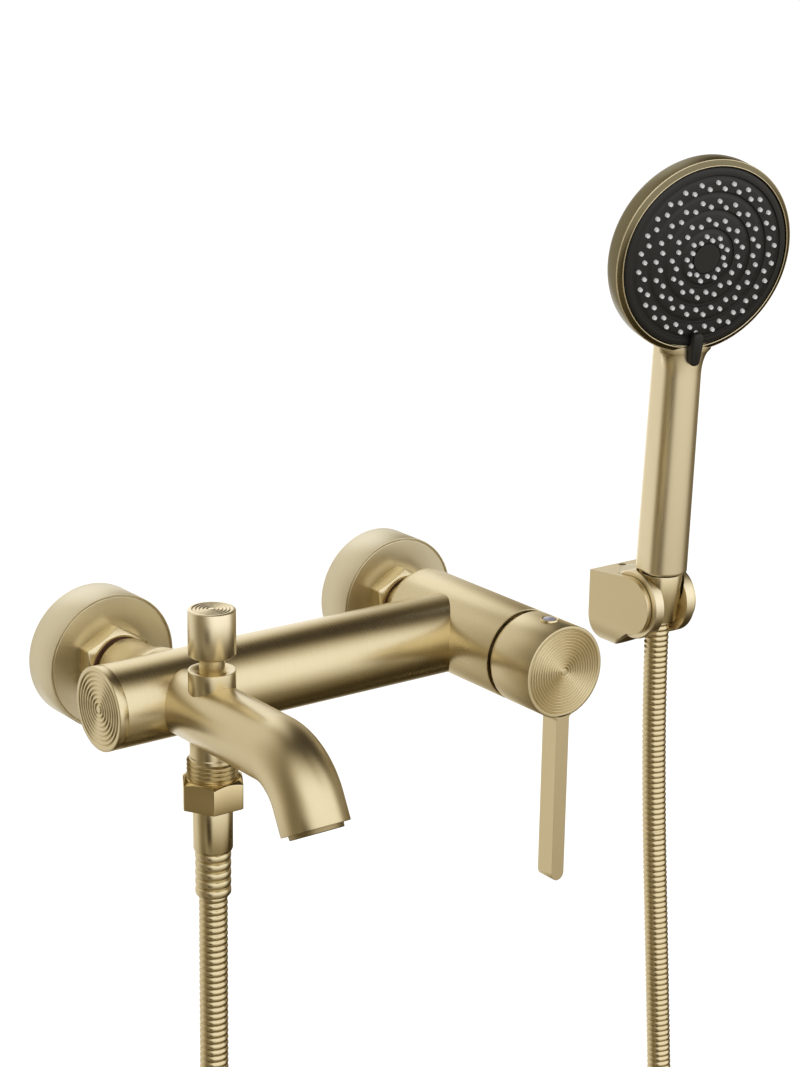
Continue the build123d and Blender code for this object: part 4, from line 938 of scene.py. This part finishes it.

# %% [markdown]
# The hand shower lifts out of its seat and its hose goes with it, while the fork only tips.
# The top stretch of the hose is therefore a sleeve of the same ribs, made as a piece of its own.
# The long hose goes on inside it as a slimmer core.

# %% The stretch at the hand shower's end
upper_piece = hose_piece("hose_upper_ribbed", upper_ribs, rib_pitch, (ribs - upper_ribs) * rib_pitch)
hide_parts("hose_upper")
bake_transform(upper_piece)
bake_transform(hose)
bpy.data.objects.remove(route_object)

# %% [markdown]
# ## Lever
#
# The lever is a short drum with a thin bar that hangs from it. The drum's face carries
# thirteen turned rings; the bar is a flat outline with a round foot and small fillets at
# its root, pushed back from the drum's face.

# %% Grooved drum and bar
lever = bmesh.new()
spun(lever, [
    (0, 131.5), (17.6, 131.5), (17.6, 110.2), (19.1, 110.2), (19.1, 112.2), (20.0, 112.2), (20.2, 112.4),
    (20.2, 136.2), (19.95, 136.5),
] + wavy_top(18.8, 1.2, 136.5, 0.7, 13), facing_room(PIPE_X), 160, 0.15, 50)
DRUM_R = 20.2
DRUM_FRONT = 136.5
BAR_THICK = 9.3
BAR_HALF = 3.35
BAR_END = -(95.0 - BAR_HALF)
FILLET = 1.6
drop = math.sqrt((DRUM_R + FILLET) ** 2 - (BAR_HALF + FILLET) ** 2)
start = math.atan2(drop, BAR_HALF + FILLET)
left_side = []
for step in range(7):
    a = start * (1 - step / 6)
    left_side.append((-BAR_HALF - FILLET + FILLET * math.cos(a), -drop + FILLET * math.sin(a)))
foot = arc((0, BAR_END), -BAR_HALF, 0, 180, 10)
right_side = [(-x, z) for x, z in reversed(left_side)]
root = [(left_side[0][0] * -0.9, -19.2), (left_side[0][0] * 0.9, -19.2)]
bar = bmesh.new()
corners = [bar.verts.new((PIPE_X + x, -DRUM_FRONT, AXIS_Z + z)) for x, z in left_side + foot + right_side + root]
front = bar.faces.new(corners)
made = bmesh.ops.extrude_face_region(bar, geom=[front])["geom"]
bmesh.ops.translate(bar, verts=only(bmesh.types.BMVert, made), vec=(0, BAR_THICK, 0))
bmesh.ops.recalc_face_normals(bar, faces=bar.faces)
bar.normal_update()
turned = [
    e for e in bar.edges
    if e.calc_face_angle(0) > math.radians(50) and min(v.co.z for v in e.verts) < AXIS_Z - 20.5
]
bmesh.ops.bevel(
    bar, geom=turned, offset=0.3, offset_type="OFFSET", segments=2, profile=0.5, affect="EDGES", material=-1,
    clamp_overlap=True,
)
# a narrow border keeps the shading of the round edges off the flat faces
flats = [f for f in bar.faces if f.calc_area() > 300]
bmesh.ops.inset_individual(bar, faces=flats, thickness=0.2, depth=0)
join(lever, bar)
add_piece("lever_drum_and_bar", lever, "lever", gold_y, ("lever_handle",), smooth_angle=40)

# %% [markdown]
# A clear dome on the drum hides the grub screw and marks the middle position.

# %% Indicator dome
DOME = Matrix.Translation((PIPE_X, -125.6, AXIS_Z))
dome = bmesh.new()
spun(dome, [
    (0, 17.8), (3.1, 17.8), (3.1, 20.3), (2.8, 20.8), (2.1, 21.2), (1.1, 21.45), (0, 21.52),
], DOME, 48, 0.1, 60)
add_piece("indicator_dome", dome, "lever", clear_dome, ("indicator_plug",), smooth_angle=60)
setting = bmesh.new()
spun(setting, [(3.12, 18.0), (4.0, 18.0), (4.0, 20.5), (3.8, 20.85), (3.4, 20.85), (3.12, 20.5)], DOME, 48, 0)
add_piece("indicator_setting", setting, "lever", polished_gold, smooth_angle=60)

# %% [markdown]
# ## Wall holder
#
# The bracket and its turning fork were cut from solid blocks in the CAD model, so their
# merged copies are used as they are.

# %% Bracket and fork
from_cad("holder_bracket", "holder_base", "mixer", gold_fine, 26)
from_cad("holder_fork_drum", "holder_fork", "fork", painted_lit_gold, 26)

# %% [markdown]
# ## Hand shower
#
# The handle is round with two flat sides: a circle squeezed by a soft limit on its width.
# Its outline is worked out at many heights, and the outlines are stacked up. Near the top
# the front flares outwards into the head, which is a shallow turned dish. The cone nut is
# wider at its foot than the solid's, as the photograph shows it, and sinks into the fork.

# %% Cone nut, its washer and the thread above it
nut = bmesh.new()
spun(nut, [
    (4.9, -7.8), (8.7, -7.8), (10.3, 6.5), (10.6, 16.6), (9.4, 16.6), (9.4, 8.4), (4.9, 8.4),
], HANDSET, 96, 0.3)
add_piece("cone_nut", nut, "handset", satin, ("hose_cone_nut",))
washer = bmesh.new()
spun(washer, [(5.0, 8.4), (9.35, 8.4), (9.35, 10.4), (5.0, 10.4)], HANDSET, 64, 0)
add_piece("cone_nut_washer", washer, "handset", seal_rubber, ("handset_washer",))
# The thread is painted shade: near black, so the gap between the cone nut and the handle reads dark.
thread = bmesh.new()
spun(thread, [(5.5, 10.4), (9.3, 10.4), (9.3, 19), (5.5, 19)], HANDSET, 64, 0)
add_piece("handset_thread", thread, "handset", painted_gap_shade)


# %% Handle
SIDES = 96
FOOT_Z = 17.6
TOP_Z = 140
FLARE_Z = 116.5
FLARE_RUN = 12.5
FLARE = 5.0
HANDLE_HEIGHTS = [FOOT_Z, 17.75, 18.2, 19.0, 60, 100, 115.5] + [116 + 0.75 * i for i in range(1, 18)] + [132, TOP_Z]


def handle_outline(height):
    """The handle's section: round front and back, flat sides, a flare in front near the head."""
    along = min(max((height - FOOT_Z) / (TOP_Z - FOOT_Z), 0), 1)
    radius = 12.6 - 0.8 * along
    flat = 11.3 - 0.7 * along
    rounding = 0.5 * max(0.0, 1 - (height - FOOT_Z) / 0.8) ** 2
    rise = min(max((height - FLARE_Z) / FLARE_RUN, 0), 1)
    flare = FLARE * (1 - math.sqrt(1 - rise * rise))
    points = []
    for index in range(SIDES):
        angle = 2 * math.pi * index / SIDES
        wide = (radius - rounding) * math.cos(angle)
        deep = (radius - rounding) * math.sin(angle)
        limit = flat - rounding
        wide = wide / (1 + (abs(wide) / limit) ** 14) ** (1 / 14)
        ahead = min(max((-deep - 2.5) / 3.0, 0), 1)
        wide += math.copysign(flare * ahead * ahead * (3 - 2 * ahead), wide) * min(abs(wide) / 6, 1)
        points.append(Vector((wide, deep - 0.12 * flare * ahead, height)))
    return points


handle = bmesh.new()
stacked(handle, [handle_outline(height) for height in HANDLE_HEIGHTS])
bmesh.ops.holes_fill(handle, edges=[e for e in handle.edges if e.is_boundary], sides=0)
bmesh.ops.recalc_face_normals(handle, faces=handle.faces)
handle.transform(HANDSET)
add_piece("handset_handle", handle, "handset", painted_lit_gold, ("handset_shell",), smooth_angle=40)

# %% Head
FACE_R = 43.5
HEAD_R = 46.7
POCKET_R = FACE_R + 0.25
POCKET_FLOOR = -5.25
LIP_Z = -2.3
FACE_PITCH = 7.0
FACE = HANDSET @ Matrix.Translation((0, -18.5, 175.3)) @ Matrix.Rotation(math.radians(90 + FACE_PITCH), 4, "X")
dome_back = [
    (HEAD_R * math.cos(math.radians(a)), -9.5 - 12 * math.sin(math.radians(a))) for a in range(90, -1, -5)
]
head = bmesh.new()
pocket = [(HEAD_R, LIP_Z), (POCKET_R, LIP_Z), (POCKET_R, POCKET_FLOOR), (0, POCKET_FLOOR)]
spun(head, [(0, -21.5)] + dome_back[1:] + pocket, FACE, 160, 0.12)
add_piece("handset_head", head, "handset", painted_shade_head_gold, ("handset_shell",), smooth_angle=40)
trim = bmesh.new()
spun(trim, [
    (POCKET_R, LIP_Z), (HEAD_R - 0.05, LIP_Z), (HEAD_R - 0.3, -1.9), (POCKET_R + 0.9, -1.1), (POCKET_R + 0.4, -0.7),
    (POCKET_R, -0.7),
], FACE, 160, 0)
add_piece("handset_lip", trim, "handset", painted_shade_head_gold, ("handset_trim_ring",), smooth_angle=30)
# The beads take the painted lit gold, so the lip's two edges show as painted highlight lines.
beads = bmesh.new()
BEAD_R = 0.3
for centre in ((HEAD_R - 0.22, LIP_Z + 0.12), (POCKET_R + 0.32, -0.68)):
    spun(beads, arc(centre, BEAD_R, 0, 315, 45), FACE, 160, 0)
add_piece("handset_lip_beads", beads, "handset", painted_lit_gold, smooth_angle=60)

# %% [markdown]
# ## Spray face
#
# The black face turns in the head. Shallow channels part its four zones, each with two
# staggered rings of soft jets, and a tab at its edge turns it.

# %% Face plate with its tab
plate = bmesh.new()
front_outline = [(0, -5), (FACE_R, -5), (FACE_R, -1.4), (43.1, -0.6), (42.2, -0.15), (40.7, 0)]
CHANNEL_RADII = (39.0, 31.2, 22.9, 13.9)
CHANNEL = ((0.9, 0), (0.45, -0.7), (-0.35, -0.8), (-1.4, -0.15), (-1.9, 0))
for radius in CHANNEL_RADII:
    front_outline += [(radius + out, height) for out, height in CHANNEL]
front_outline += [(7.6, 0), (7.3, -0.4), (7.05, -0.4), (6.95, 0.28), (0, 0.28)]
spun(plate, front_outline, FACE, 144, 0)
tab = bmesh.new()
outline = arc((0, -39.0), 3.2, 0, 180, 15) + arc((0, -49.6), 2.7, 180, 360, 15)
flat = tab.faces.new([tab.verts.new((x, y, -0.2)) for x, y in outline])
made = bmesh.ops.extrude_face_region(tab, geom=[flat])["geom"]
bmesh.ops.translate(tab, verts=only(bmesh.types.BMVert, made), vec=(0, 0, 4.1))
bmesh.ops.recalc_face_normals(tab, faces=tab.faces)
soften(tab, 1.2, 50)
tab.transform(FACE)
join(plate, tab)
add_piece(
    "spray_plate", plate, "selector", black_face, ("spray_face", "spray_center_cap"), smooth_angle=50
)

# %% Soft jets
NOZZLE_RINGS = ((8.8, 10.9, 9), (16.6, 19.0, 13), (25.0, 27.6, 19), (33.6, 36.4, 26))
outwards = (FACE.to_3x3() @ Vector((0, 0, 1))).normalized()
jets = bmesh.new()
jet_count = 0
for inner, outer, count in NOZZLE_RINGS:
    for offset, radius in enumerate((inner, outer)):
        for i in range(count):
            angle = 2 * math.pi * (i + 0.5 * offset) / count
            place = FACE @ Matrix.Translation((radius * math.cos(angle), radius * math.sin(angle), 0.5))
            made = bmesh.ops.create_cone(
                jets, cap_ends=True, cap_tris=False, segments=10, radius1=1.12, radius2=0.95, depth=1.4, matrix=place
            )["verts"]
            tops = {f for v in made for f in v.link_faces if len(f.verts) == 10}
            top = max(tops, key=lambda f: f.calc_center_median().dot(outwards))
            bmesh.ops.inset_individual(jets, faces=[top], thickness=0.42, depth=-0.5)
            jet_count += 1
add_piece("spray_jets", jets, "selector", nozzle_rubber, smooth_angle=50)
print("jets:", jet_count)

# %% [markdown]
# ## What stays as CAD
#
# The unions, the seals, the cartridge, the screws and the pins are hidden or nearly so.
# Their shapes are right already and only their finishes change.

# %% Finishes for the carried-over nodes
KEPT = {
    raw_brass: ("eccentric_union_left", "eccentric_union_right", "cartridge_nut", "cartridge_stem"),
    washer_fibre: ("inlet_washer_left", "inlet_washer_right"),
    cartridge_plastic: ("cartridge_body", "cartridge_spindle"),
    steel: (
        "tilt_pin", "lever_grub_screw", "holder_wall_plate", "holder_grub_screw", "holder_pin_left",
        "holder_pin_right", "diverter_stem", "diverter_spring",
    ),
    seal_rubber: ("diverter_valve_disc", "outlet_washer"),
}
for material, names in KEPT.items():
    for name in names:
        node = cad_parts[name]
        for index in range(len(node.material_slots)):
            node.material_slots[index].material = material
print("kept CAD nodes:", sum(len(names) for names in KEPT.values()))
